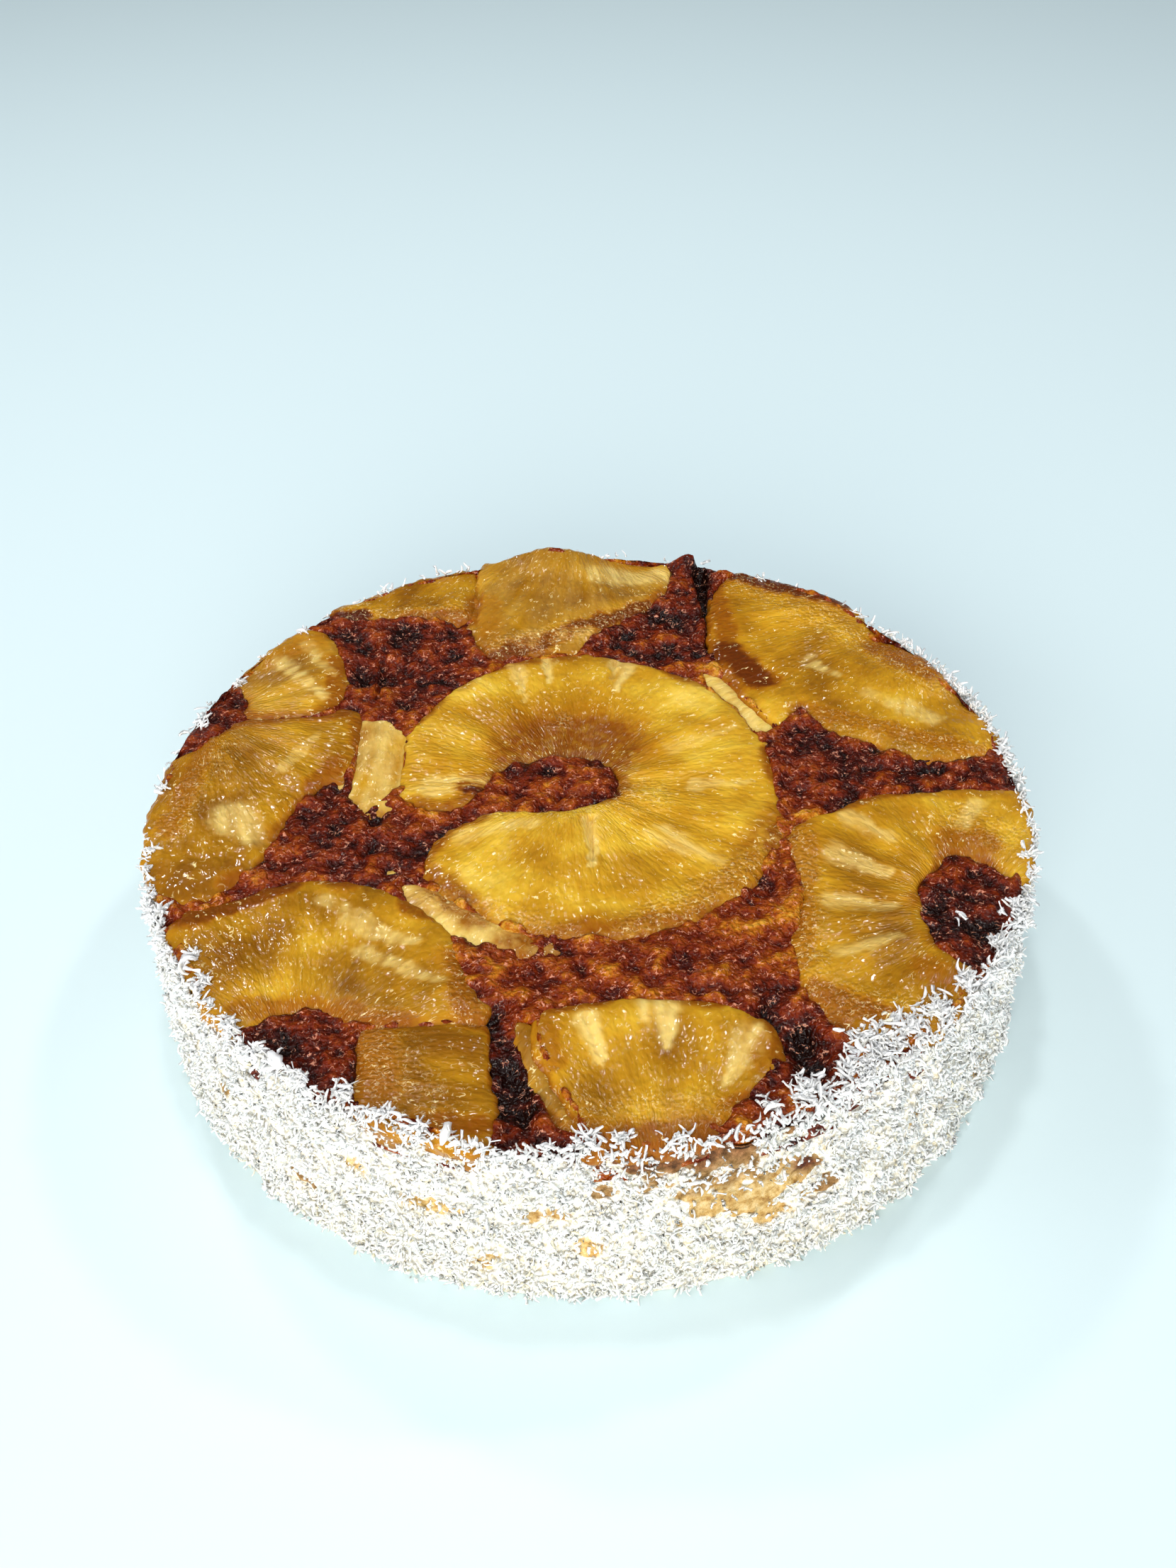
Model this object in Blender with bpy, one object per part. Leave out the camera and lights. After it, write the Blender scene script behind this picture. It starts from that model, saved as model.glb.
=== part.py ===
"""A round pineapple upside-down cake, 19 cm across, rolled in desiccated coconut.

The sponge is one solid: the tin's wall, a caramel top with its lumps, a bed for each piece of
fruit and the larger shreds of coconut that stick to the wall. Each piece of pineapple lies in
its own bed. Lengths are written in millimetres times MM, so the model is in metres. The origin
is the centre of the base, +Z is up, and -Y is the side that faces the viewer.
"""

import math
import random

import bmesh
import bpy
from mathutils import Matrix, Vector, noise
from mathutils.geometry import delaunay_2d_cdt

MM = 0.001

# Driving sizes of the cake
HEIGHT = 45.4 * MM
TOP_RADIUS = 93.2 * MM
BASE_RADIUS = 93.9 * MM
LOPSIDED = 1.25 * MM
LOPSIDED_WAY = math.radians(-45)
RIM_ROUND = 1.3 * MM
WALL_STEPS = 6
ROUND_STEPS = 72
TOP_RINGS = 12

# How the wall and the crumb of the top vary
WALL_WAVE = 0.4 * MM
WALL_WAVE_LENGTH = 45 * MM
LUMP_RISE = 0.7 * MM
LUMP_LENGTH = 7 * MM

# The fruit stands a little proud of the caramel and sinks most of a slice's thickness into it
FRUIT_PROUD = 0.9 * MM
BED_FLOOR = 36.0 * MM
BED_GAP = 0.45 * MM
UNDER_GAP = 0.35 * MM
RIM_STRIP = 1.7 * MM
EDGE_ROUND = 0.9 * MM
OUTLINE_STEP = 4.0 * MM
RAY_STEP = math.radians(11)
RAY_SPACING = 8.0 * MM
RIDGE_RISE = 0.3 * MM
EDGE_MARGIN = 2.6 * MM

# Coconut shreds large enough to be felt on the wall
SHRED_COUNT = 160
SHRED_LENGTH = (4.0 * MM, 7.5 * MM)
SHRED_WIDTH = (0.9 * MM, 1.5 * MM)
SHRED_LOWEST = 2.6 * MM
SHRED_HIGHEST = HEIGHT - 4.0 * MM
SHRED_SEED = 11

# Where the top rises or sinks: x, y, rise and spread, in millimetres
RISES = (
    (-8, 90, 3.2, 8),
    (14, 88, -2.6, 8),
    (28, 89, 3.0, 4),
    (60, 72, 1.8, 7),
    (71, 56, -2.4, 7),
    (86, 31, -1.4, 8),
    (-28, 86, -1.0, 8),
    (-80, 42, -1.4, 9),
    (15, -50, 1.1, 13),
    (-46, 46, -2.2, 9),
    (16, 58, -1.4, 9),
    (38, -70, -2.0, 6),
    (-14, -78, -1.6, 6),
)

# Each piece of fruit: the core it was cut round, how far its face lies below the others, and
# its outline, all in millimetres
FRUIT = {
    "pineapple_ring": ((-3, 4), 0.0, (
        (-36, -3), (-39, 6), (-38.5, 20), (-33, 33), (-22, 44), (-8, 49), (8, 48.5), (22, 42),
        (33, 31), (40, 16), (41.5, 2), (39.5, -15), (33, -28), (22, -37.5), (8, -42), (-6, -41),
        (-18, -36), (-28, -28.5), (-32.5, -21), (-29.5, -12.5), (-22, -7), (-12, -5), (-2, -4),
        (6, -1), (8, 6), (3, 13), (-6, 13.5), (-15, 12), (-20, 7), (-24, -0.5), (-30, -4.5),
    )),
    "pineapple_back": ((0, 112), 0.0, (
        (-25.5, 86), (-17, 90), (-11, 92), (-2, 92), (8, 91), (17, 89), (22.5, 86),
        (21, 78), (17.5, 71.5), (9, 64), (2, 58), (-2, 52), (-12, 51.2), (-23, 51.5), (-26, 60),
        (-25.5, 72),
    )),
    "pineapple_back_strip": ((-20, 112), 0.5, (
        (-60.5, 68), (-53, 75), (-45, 80.5), (-36, 84.5), (-26.8, 86), (-26.8, 75),
        (-27.2, 66), (-35, 66), (-43, 67.5), (-52, 67),
    )),
    "pineapple_back_right": ((84, 70), 0.0, (
        (36.5, 81.5), (43, 81.5), (51, 76.5), (59, 71), (65.5, 64.5), (69, 58), (73.5, 53),
        (79, 46), (82.5, 38.5), (85, 32), (88, 25), (91, 18), (88.5, 12.5), (80, 10.5),
        (72, 12), (66, 16.5), (58.5, 19), (53.5, 23.5), (50, 30), (47, 26.5), (44.5, 23),
        (41, 29), (37.5, 36), (34.5, 43), (32, 50), (32, 62), (33, 72),
    )),
    "pineapple_left_back": ((-86, 30), 0.4, (
        (-67, 63), (-62, 61), (-57.5, 51.5), (-55.5, 42), (-56.5, 33.5), (-61, 29.8), (-70, 28.8),
        (-76.5, 29), (-77.5, 36), (-80.5, 42), (-76, 51),
    )),
    "pineapple_left": ((-86, 28), 0.0, (
        (-78, 26), (-70, 27.6), (-61, 28.4), (-52, 29), (-51, 20), (-51.8, 11.5), (-58, 5),
        (-62.5, -2), (-64.5, -11), (-68, -18.5), (-74, -27), (-81, -30.5), (-86.3, -26),
        (-90, -12), (-90.5, 0), (-88.8, 10), (-84.5, 19),
    )),
    "pineapple_front_left": ((-53, -74), 0.0, (
        (-81, -37), (-74, -32.5), (-66, -28.5), (-57, -25.5), (-48, -26), (-41.5, -28.5),
        (-35.5, -33), (-29.5, -38.5), (-26, -45), (-23.5, -53), (-21, -61.5), (-30, -63),
        (-40, -63.5), (-46, -61.8), (-53, -59.5), (-60, -61), (-65.5, -63.5), (-71.5, -55.5),
        (-77, -46.5),
    )),
    "pineapple_front_leg": ((-62, -76), 0.6, (
        (-42, -65.5), (-33, -64.4), (-23, -63.6), (-19, -66.5), (-18, -76), (-17, -90.3),
        (-25, -88.6), (-33, -85.8), (-40, -82.2), (-42, -74),
    )),
    "pineapple_front": ((13, -108), 0.2, (
        (-7.5, -61.5), (1, -60), (11, -59.5), (21, -60), (29.5, -62), (34, -68.5), (33, -76),
        (27.5, -83), (20, -88.3), (12, -90.8), (3, -90.6), (-1, -84.5), (-5, -75.5),
        (-8.3, -68),
    )),
    "pineapple_right": ((78, -36), 0.0, (
        (46, -10.5), (53, -6.5), (63, -2), (75, -0.5), (91.5, -1.5), (91.8, -12), (89.8, -22),
        (86.6, -28), (83, -22), (76, -20.2), (69.5, -26), (66.5, -36), (69, -46.5),
        (73.4, -52), (70.8, -58.5), (64, -66.4), (56.5, -70), (49.5, -68.5), (44.5, -60.5),
        (41.5, -50), (43, -38), (45, -28), (43.5, -19),
    )),
    "pineapple_sliver_left": ((-86, 28), 1.0, (
        (-50.3, 27), (-45, 26.6), (-41, 22.5), (-39.9, 14), (-40.6, 6), (-43, 0.5), (-46.8, -4),
        (-49.3, -1), (-50.4, 9), (-50, 18),
    )),
    "pineapple_sliver_front_left": ((-3, 4), 0.8, (
        (-37.5, -26.5), (-34, -26.8), (-28.5, -30.2), (-19, -37.6), (-10, -42.6), (-13, -44.4),
        (-21, -42.4), (-27.5, -39.6), (-33.5, -33.4),
    )),
    "pineapple_sliver_back": ((84, 70), 1.2, (
        (28.5, 43.5), (31.8, 42.2), (34.4, 38.4), (37.6, 33), (41, 27.5), (43.2, 22.4),
        (39.5, 21), (34.6, 31), (30, 37.5),
    )),
    "pineapple_sliver_front": ((13, -108), 1.2, (
        (-13, -63), (-9.5, -63.5), (-9, -70), (-6, -77.5), (-2, -85.5), (-1.5, -90),
        (-5.5, -88), (-9.5, -78), (-12.5, -69),
    )),
}

# Clefts that opened in the caramel beside the fruit, as outlines in millimetres
CLEFTS = {
    "cleft_back": ((27.5, 85), (30.5, 84), (32.6, 74), (32, 60), (32, 50), (29.5, 51), (28, 66)),
    "cleft_back_left": ((-49, 53), (-46.6, 52), (-46.2, 42), (-46.6, 34), (-48.6, 35)),
    "cleft_front": ((21, -55.6), (28, -56.4), (27.4, -58), (21.6, -57.4)),
}
CLEFT_DEPTH = 5.0 * MM

CARAMEL = ((0.16, 0.035, 0.012), 0.35)
FLESH = ((0.62, 0.34, 0.045), 0.25)


def clear_scene():
    for thing in list(bpy.data.objects):
        bpy.data.objects.remove(thing)


def make_material(name, finish):
    """A Principled material: colour, roughness and no metal."""
    colour, roughness = finish
    material = bpy.data.materials.new(name)
    material.use_nodes = True
    shader = material.node_tree.nodes["Principled BSDF"]
    shader.inputs["Base Color"].default_value = (*colour, 1)
    shader.inputs["Roughness"].default_value = roughness
    shader.inputs["Metallic"].default_value = 0
    return material


def add_object(name, mesh_maker, material=None, collection=None):
    """A new object from a bmesh, whose faces are turned outwards."""
    bmesh.ops.recalc_face_normals(mesh_maker, faces=mesh_maker.faces)
    mesh = bpy.data.meshes.new(name)
    mesh_maker.to_mesh(mesh)
    mesh_maker.free()
    if material:
        mesh.materials.append(material)
    made = bpy.data.objects.new(name, mesh)
    (collection or bpy.context.scene.collection).objects.link(made)
    return made


def top_level(x, y):
    """Height of the fruit's faces at a place, before the caramel's own lumps."""
    level = HEIGHT
    for rise_x, rise_y, rise, spread in RISES:
        away = math.hypot(x / MM - rise_x, y / MM - rise_y) / spread
        level += rise * MM * math.exp(-away * away)
    return level


def caramel_level(x, y):
    """Height of the caramelised sponge between the pieces of fruit."""
    lump = noise.noise(Vector((x, y, 0)) / LUMP_LENGTH)
    return top_level(x, y) - FRUIT_PROUD + LUMP_RISE * lump


def wall_radius(angle, height):
    """The wall leans out a little towards the base and bulges to the front right."""
    share = height / HEIGHT
    radius = BASE_RADIUS + (TOP_RADIUS - BASE_RADIUS) * share
    radius += LOPSIDED * math.cos(angle - LOPSIDED_WAY)
    place = Vector((math.cos(angle), math.sin(angle), 0)) * TOP_RADIUS + Vector((0, 0, height))
    return radius + WALL_WAVE * noise.noise(place / WALL_WAVE_LENGTH)


def wall_point(angle, height, inset=0.0):
    radius = wall_radius(angle, height) - inset
    return Vector((radius * math.cos(angle), radius * math.sin(angle), height))


def ring_of(mesh_maker, place):
    """One vertex for each step round the cake."""
    turns = (2 * math.pi * step / ROUND_STEPS for step in range(ROUND_STEPS))
    return [mesh_maker.verts.new(place(angle)) for angle in turns]


def make_sponge(material):
    """The cake's body: a flat base, a wall, a rounded rim and the lumpy caramel top."""
    mesh_maker = bmesh.new()
    rings = []
    for step in range(WALL_STEPS):
        height = (HEIGHT - 2 * RIM_ROUND - FRUIT_PROUD) * step / (WALL_STEPS - 1)
        rings.append(ring_of(mesh_maker, lambda angle: wall_point(angle, height)))

    def top_point(angle, share, sink):
        edge = wall_point(angle, HEIGHT, RIM_ROUND * 0.7) * share
        return Vector((edge.x, edge.y, caramel_level(edge.x, edge.y) - sink))

    for ring in range(TOP_RINGS, 0, -1):
        sink = RIM_ROUND * 0.5 if ring == TOP_RINGS else 0.0
        rings.append(ring_of(mesh_maker, lambda angle: top_point(angle, ring / TOP_RINGS, sink)))
    for lower, upper in zip(rings, rings[1:]):
        for step in range(ROUND_STEPS):
            after = (step + 1) % ROUND_STEPS
            mesh_maker.faces.new((lower[step], lower[after], upper[after], upper[step]))
    mesh_maker.faces.new(reversed(rings[0]))
    mesh_maker.faces.new(rings[-1])
    return add_object("sponge", mesh_maker, material)


def keep_inside(point):
    """A point moved in to where a strip of sponge is left between it and the wall."""
    reach = wall_radius(math.atan2(point.y, point.x), HEIGHT) - RIM_STRIP
    return point * min(1.0, reach / point.length)


def smooth_outline(points):
    """A closed Catmull-Rom curve through the points, read about every OUTLINE_STEP."""
    corners = [keep_inside(Vector(point) * MM) for point in points]
    count = len(corners)
    curve = []
    for index in range(count):
        before, start, end, after = (corners[(index + k) % count] for k in (-1, 0, 1, 2))
        steps = max(1, round((end - start).length / OUTLINE_STEP))
        for step in range(steps):
            t = step / steps
            curve.append(0.5 * (
                2 * start
                + (end - before) * t
                + (2 * before - 5 * start + 4 * end - after) * t ** 2
                + (3 * start - before - 3 * end + after) * t ** 3
            ))
    return curve


def offset_outline(curve, distance):
    """The outline moved outwards by the distance, or inwards where it is negative."""
    area = sum(a.x * b.y - b.x * a.y for a, b in zip(curve, curve[1:] + curve[:1]))
    side = -1 if area > 0 else 1
    moved = []
    for index, point in enumerate(curve):
        along = (curve[(index + 1) % len(curve)] - curve[index - 1]).normalized()
        moved.append(point + side * distance * Vector((-along.y, along.x)))
    return moved


def distance_inside(point, curve):
    """How far inside the outline a point lies; negative outside."""
    nearest = math.inf
    inside = False
    for start, end in zip(curve, curve[1:] + curve[:1]):
        edge = end - start
        share = max(0.0, min(1.0, (point - start).dot(edge) / edge.length_squared))
        nearest = min(nearest, (point - start - edge * share).length)
        if (start.y > point.y) != (end.y > point.y):
            if point.x < start.x + edge.x * (point.y - start.y) / edge.y:
                inside = not inside
    return nearest if inside else -nearest


def ridge_points(core, curve):
    """Points along the fruit's rays, from its core outwards, with every other ray raised."""
    found = []
    for ray in range(round(2 * math.pi / RAY_STEP)):
        way = Vector((math.cos(ray * RAY_STEP), math.sin(ray * RAY_STEP)))
        for step in range(1, 10):
            point = core + way * step * RAY_SPACING
            if distance_inside(point, curve) > EDGE_MARGIN:
                found.append((point, RIDGE_RISE if ray % 2 else -RIDGE_RISE))
    return found


def make_fruit(name, core, sink, points, material):
    """A slice of pineapple: a flat underside, a wall, a rounded edge and a ridged face."""
    curve = smooth_outline(points)
    edge = offset_outline(curve, -EDGE_ROUND)
    ridges = ridge_points(Vector(core) * MM, edge)
    flat = edge + [point for point, _ in ridges]
    rises = [0.0] * len(edge) + [rise for _, rise in ridges]
    loop = [(index, (index + 1) % len(edge)) for index in range(len(edge))]
    cut = delaunay_2d_cdt(flat, loop, [], 1, 1e-7)
    faces, origins = cut[2], cut[3]

    mesh_maker = bmesh.new()

    def level(point):
        return top_level(point.x, point.y) - sink * MM

    floor = BED_FLOOR + UNDER_GAP
    bottom = [mesh_maker.verts.new((p.x, p.y, floor)) for p in curve]
    shoulder = [mesh_maker.verts.new((p.x, p.y, level(p) - EDGE_ROUND)) for p in curve]
    top = []
    for point, sources in zip(cut[0], origins):
        rise = rises[sources[0]] if sources else 0.0
        top.append(mesh_maker.verts.new((point.x, point.y, level(point) + rise)))
    count = len(curve)
    for index in range(count):
        after = (index + 1) % count
        mesh_maker.faces.new((bottom[index], bottom[after], shoulder[after], shoulder[index]))
        mesh_maker.faces.new((shoulder[index], shoulder[after], top[after], top[index]))
    for face in faces:
        mesh_maker.faces.new([top[index] for index in face])
    mesh_maker.faces.new(bottom)
    return add_object(name, mesh_maker, material)


def make_cutter(name, curve, floor, collection):
    """A closed prism that reaches from the floor to well above the cake."""
    mesh_maker = bmesh.new()
    lower = [mesh_maker.verts.new((p.x, p.y, floor)) for p in curve]
    upper = [mesh_maker.verts.new((p.x, p.y, HEIGHT * 1.3)) for p in curve]
    for index in range(len(curve)):
        after = (index + 1) % len(curve)
        mesh_maker.faces.new((lower[index], lower[after], upper[after], upper[index]))
    mesh_maker.faces.new(lower)
    mesh_maker.faces.new(upper)
    return add_object(name, mesh_maker, collection=collection)


def make_shred(name, place, outward, draw, collection):
    """A three-sided, bent and tapered shred of coconut, with one end in the wall."""
    length = draw.uniform(*SHRED_LENGTH)
    width = draw.uniform(*SHRED_WIDTH)
    bend = draw.uniform(0.2, 0.6) * width
    mesh_maker = bmesh.new()
    stations = []
    for share, thick in ((-0.5, 0.75), (0.05, 1.0), (0.5, 0.55)):
        middle = Vector((length * share, 0, bend * (1 - 4 * share * share)))
        corners = []
        for corner in range(3):
            angle = 2 * math.pi * corner / 3
            across = Vector((0, math.cos(angle) * 0.5, math.sin(angle) * 0.36)) * width * thick
            corners.append(mesh_maker.verts.new(middle + across))
        stations.append(corners)
    for first, second in zip(stations, stations[1:]):
        for corner in range(3):
            after = (corner + 1) % 3
            mesh_maker.faces.new((first[corner], first[after], second[after], second[corner]))
    mesh_maker.faces.new(stations[0])
    mesh_maker.faces.new(stations[-1])
    along = Vector((-outward.y, outward.x, 0))
    upright = Matrix((along, Vector((0, 0, 1)), outward)).transposed().to_4x4()
    spin = Matrix.Rotation(draw.uniform(0, 2 * math.pi), 4, "Z")
    lift = Matrix.Rotation(-draw.uniform(math.radians(12), math.radians(38)), 4, "Y")
    mesh_maker.transform(Matrix.Translation(place) @ upright @ spin @ lift)
    return add_object(name, mesh_maker, collection=collection)


def scatter_shreds(collection):
    """Shreds spread evenly over the wall by the golden angle, each with a small seeded shift."""
    draw = random.Random(SHRED_SEED)
    golden = math.pi * (3 - math.sqrt(5))
    for index in range(SHRED_COUNT):
        share = (index + 0.5) / SHRED_COUNT
        angle = index * golden + draw.uniform(-0.02, 0.02)
        height = SHRED_LOWEST + (SHRED_HIGHEST - SHRED_LOWEST) * share
        place = wall_point(angle, height, -0.25 * MM)
        outward = Vector((math.cos(angle), math.sin(angle), 0))
        make_shred(f"shred_{index:03d}", place, outward, draw, collection)


def new_helpers(name):
    helpers = bpy.data.collections.new(name)
    bpy.context.scene.collection.children.link(helpers)
    return helpers


def apply_boolean(target, operation, helpers):
    """Cuts or joins a whole collection at once, then removes its objects."""
    modifier = target.modifiers.new(operation.lower(), "BOOLEAN")
    modifier.operation = operation
    modifier.operand_type = "COLLECTION"
    modifier.collection = helpers
    modifier.solver = "EXACT"
    graph = bpy.context.evaluated_depsgraph_get()
    result = bpy.data.meshes.new_from_object(target.evaluated_get(graph))
    target.modifiers.clear()
    target.data = result
    for helper in list(helpers.objects):
        bpy.data.objects.remove(helper)
    bpy.data.collections.remove(helpers)


def build_cake():
    clear_scene()
    caramel = make_material("caramelised sponge", CARAMEL)
    flesh = make_material("baked pineapple", FLESH)
    sponge = make_sponge(caramel)
    shreds = new_helpers("shreds")
    scatter_shreds(shreds)
    apply_boolean(sponge, "UNION", shreds)
    beds = new_helpers("beds")
    for name, (core, sink, points) in FRUIT.items():
        make_fruit(name, core, sink, points, flesh)
        bed = offset_outline(smooth_outline(points), BED_GAP)
        make_cutter("bed_" + name, bed, BED_FLOOR, beds)
    for name, points in CLEFTS.items():
        make_cutter(name, smooth_outline(points), HEIGHT - CLEFT_DEPTH, beds)
    apply_boolean(sponge, "DIFFERENCE", beds)


build_cake()
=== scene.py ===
"""A pineapple upside-down cake with a caramelised top and a coat of desiccated coconut.

The cake's origin is the centre of its base. +Z is up and -Y is the side that faces the camera.
Lengths are written in millimetres times MM.
"""

import math

import bmesh
import bpy
import numpy as np
from mathutils import Matrix, Vector, noise


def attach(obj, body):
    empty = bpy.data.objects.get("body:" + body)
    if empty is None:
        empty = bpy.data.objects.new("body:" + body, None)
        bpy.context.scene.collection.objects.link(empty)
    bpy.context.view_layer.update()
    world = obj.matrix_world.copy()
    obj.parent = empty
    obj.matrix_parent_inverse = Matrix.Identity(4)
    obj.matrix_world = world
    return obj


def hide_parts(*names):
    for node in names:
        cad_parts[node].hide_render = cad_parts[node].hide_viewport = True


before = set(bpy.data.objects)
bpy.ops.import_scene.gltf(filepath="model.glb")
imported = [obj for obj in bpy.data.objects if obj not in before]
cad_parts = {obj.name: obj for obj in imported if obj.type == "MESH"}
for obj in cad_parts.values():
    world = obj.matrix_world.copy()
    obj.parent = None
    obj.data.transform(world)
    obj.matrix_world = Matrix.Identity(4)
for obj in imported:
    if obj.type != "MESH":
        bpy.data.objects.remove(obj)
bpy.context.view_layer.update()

MM = 0.001

# The cake's sizes, as its solids have them
HEIGHT = 45.4
TOP_RADIUS = 93.2
BASE_RADIUS = 93.9
LOPSIDED = 1.25
LOPSIDED_WAY = math.radians(-45)
WALL_WAVE = 0.4
WALL_WAVE_LENGTH = 45
FRUIT_PROUD = 0.9
RISES = (
    (-8, 90, 3.2, 8), (14, 88, -2.6, 8), (28, 89, 3.0, 4), (60, 72, 1.8, 7), (71, 56, -2.4, 7),
    (86, 31, -1.4, 8), (-28, 86, -1.0, 8), (-80, 42, -1.4, 9), (15, -50, 1.1, 13),
    (-46, 46, -2.2, 9), (16, 58, -1.4, 9), (38, -70, -2.0, 6), (-14, -78, -1.6, 6),
)

# How finely the skins are worked, in millimetres
FRUIT_SKIN = 0.55
CARAMEL_SKIN = 0.62
WALL_SKIN = 0.7

# The caramel reaches this far down. Its edge shows above the wall, whose lip hides the rest, and
# it has a bed for each slice. FRUIT_PROUD and CARAMEL_LOW set it below the faces of the slices
CARAMEL_DEPTH = 9.5
CARAMEL_LOW = 0.35
BED_DEPTH = 3.2
RIM_ROUND = 1.2
WALL_TOP = HEIGHT - 2.6
WALL_LIP = 1.6
WALL_HOLLOW = 10
WALL_FOOT = 0.6

# The slices: how far down their worked faces and edges reach, how far they are drawn out past
# their solids at the rim, how far they grow elsewhere, and the dip round the ring's hole, as its
# middle, its half sizes and its depth
FACE_DEPTH = 7
EDGE_WIDTH = 2.5
RIM_REACH = 2.0
EDGE_GROWTH = 1.2
SLIVER_GROWTH = 0.6
LONGEST_GAP = 9.0
DIP_MIDDLE = (-4, 12)
DIP_HALF_SIZES = (17, 16)
DIP_DEPTH = 1.2

# The way from the ring's core to the slot where the ring is open
RING_SLOT = math.radians(-155)

# Each piece of fruit: its CAD node, the core its fibres run out from, how pale it is, and how
# much riper and lighter its flesh is than that of the rest
FRUIT = {
    "ring_slice": ("pineapple_ring", (-3, 4), 0.0, 0.04),
    "back_slice": ("pineapple_back", (0, 112), 0.08, -0.11),
    "back_strip": ("pineapple_back_strip", (-20, 112), 0.0, -0.13),
    "back_right_slice": ("pineapple_back_right", (84, 70), 0.0, -0.06),
    "left_back_slice": ("pineapple_left_back", (-86, 30), 0.05, -0.12),
    "left_slice": ("pineapple_left", (-86, 28), 0.0, -0.14),
    "front_left_slice": ("pineapple_front_left", (-53, -74), 0.0, -0.09),
    "front_leg": ("pineapple_front_leg", (-120, -76), 0.0, -0.18),
    "front_slice": ("pineapple_front", (13, -108), 0.0, -0.05),
    "right_slice": ("pineapple_right", (78, -36), 0.0, -0.08),
    "left_sliver": ("pineapple_sliver_left", (-36, 120), 0.5, -0.06),
    "front_left_sliver": ("pineapple_sliver_front_left", (-3, 4), 0.85, 0.0),
    "back_sliver": ("pineapple_sliver_back", (84, 70), 0.8, 0.0),
    "front_sliver": ("pineapple_sliver_front", (-40, -130), 0.1, -0.16),
}

# Pieces that spread wider than their solids, by these shares along X and Y
SPREAD = {
    "left_sliver": (1.5, 1.3), "front_left_sliver": (1.3, 1.35), "back_sliver": (1.4, 1.3),
    "front_slice": (1.06, 1.0),
}

# Marks on the fruit. Each is a tapering stroke: from x, y to x, y, its half widths at the two
# ends, and its strength
STAINS = (
    (-8, 15, 3, 16, 16, 14, 0.66), (-24, 3, 5, 1, 4, 4, 0.9), (-36, -4, -22, -7, 3, 3, 0.6),
    (-38, -2, -28, -3, 2, 2, 0.5), (-22, 49, 16, 70, 3.5, 3, 0.75), (-62, 66, -54, 68, 4, 3, 0.9),
    (-42, 67, -28, 67, 3, 3, 0.6), (-22, 56, -23, 72, 4, 3, 0.4), (40, 82, 64, 70, 4, 4, 0.8),
    (71, 53, 81, 43, 5, 5, 0.6), (34, 51, 42, 39, 5, 4, 0.78), (50, 28, 88, 12, 3, 3, 0.5),
    (35, 56, 33, 76, 3, 3, 0.6), (-57, 35, -58, 50, 3, 3, 0.6), (-62, 60, -74, 50, 3, 3, 0.4),
    (-54, 12, -63, -8, 3, 3, 0.6), (-84, 20, -88, -10, 3, 3, 0.5), (-80, -36, -60, -27, 4, 3, 0.7),
    (-24, -48, -22, -62, 4, 4, 0.6), (-66, -60, -44, -61, 3, 3, 0.55),
    (-40, -66, -38, -82, 5, 5, 0.5), (-30, -87, -18, -88, 3, 3, 0.6),
    (-8, -62, -6, -74, 3, 2.5, 0.5), (-6, -93, 28, -91, 4.5, 4.5, 0.62),
    (32, -66, 33, -76, 3, 3, 0.5), (46, -12, 42, -50, 3.5, 3, 0.5), (44, -58, 60, -68, 4, 4, 0.6),
    (76, -17, 83, -18, 4.5, 4.5, 0.55), (66, -52, 72, -56, 4, 4, 0.5),
    (-34, -22, -22, -36, 4, 4, 0.6), (-12, -45, 20, -42, 7, 7, 0.6), (26, -37, 43, -10, 7, 7, 0.52),
    (60, 1, 90, -2, 3, 2, 0.4), (-37, 10, -29, 26, 7, 7, 0.3),
)
PALES = (
    (-8, 49, -8, 39, 1.6, 0.4, 0.9), (-16, 46, -13, 33, 2.0, 0.5, 0.7),
    (10, 48, 8, 36, 3.4, 0.8, 1.0), (-33, 3, -20, 5, 3.2, 1.5, 0.8),
    (-26, -13, -10, -9, 2.2, 1.2, 0.6), (1.5, -9, 1.5, -23, 1.6, 0.7, 0.9),
    (16, -14, 28, -22, 2.6, 1.2, 0.6), (24, 2, 36, 3, 1.6, 1.0, 0.5),
    (20, 14, 34, 22, 1.6, 0.9, 0.4), (0, -64, 3, -75, 2.6, 0.6, 1.0),
    (14, -61, 15, -70, 4.2, 1.2, 1.0), (31, -68, 26, -79, 3.2, 1.0, 0.9),
    (-75, -6, -70, -12, 4.5, 3, 0.8), (-72, 50, -60, 36, 2.2, 1.2, 0.7),
    (-66, 56, -59, 44, 1.6, 1.0, 0.6), (6, 84, 20, 84, 4.5, 3.5, 0.75),
    (-14, 56, 2, 60, 3.0, 2.0, 0.6), (54, 46, 60, 40, 1.8, 1.2, 0.7),
    (74, 28, 80, 24, 3.2, 2.2, 0.7), (66, 34, 72, 28, 2.0, 1.2, 0.4),
    (-47, -38, -34, -44, 2.2, 1.4, 0.7), (-44, -46, -28, -54, 2.0, 1.2, 0.6),
    (-52, -32, -42, -38, 1.8, 1.0, 0.5), (52, -20, 62, -26, 2.6, 1.4, 0.6),
    (50, -34, 62, -36, 2.2, 1.2, 0.6), (56, -9, 64, -16, 2.2, 1.2, 0.6),
    (50, -48, 62, -44, 2.0, 1.0, 0.5), (84, -6, 80, -12, 2.4, 1.4, 0.6),
    (-66, 10, -60, 20, 1.6, 1.0, 0.4),
)
CRACKS = (
    (1.5, -8, 1.8, -21, 0.7, 0.3, 1.6), (8, 47, 7, 40, 0.8, 0.3, 1.2),
    (-8, 48, -8, 41, 0.5, 0.3, 0.7), (-15, 45, -13, 36, 0.5, 0.3, 0.6),
    (0, -63, 2, -72, 0.5, 0.3, 0.5), (-25.5, 62, -25.5, 82, 0.6, 0.6, 0.8),
    (-38, -64, -20, -64, 0.4, 0.4, 0.4),
)
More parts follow.
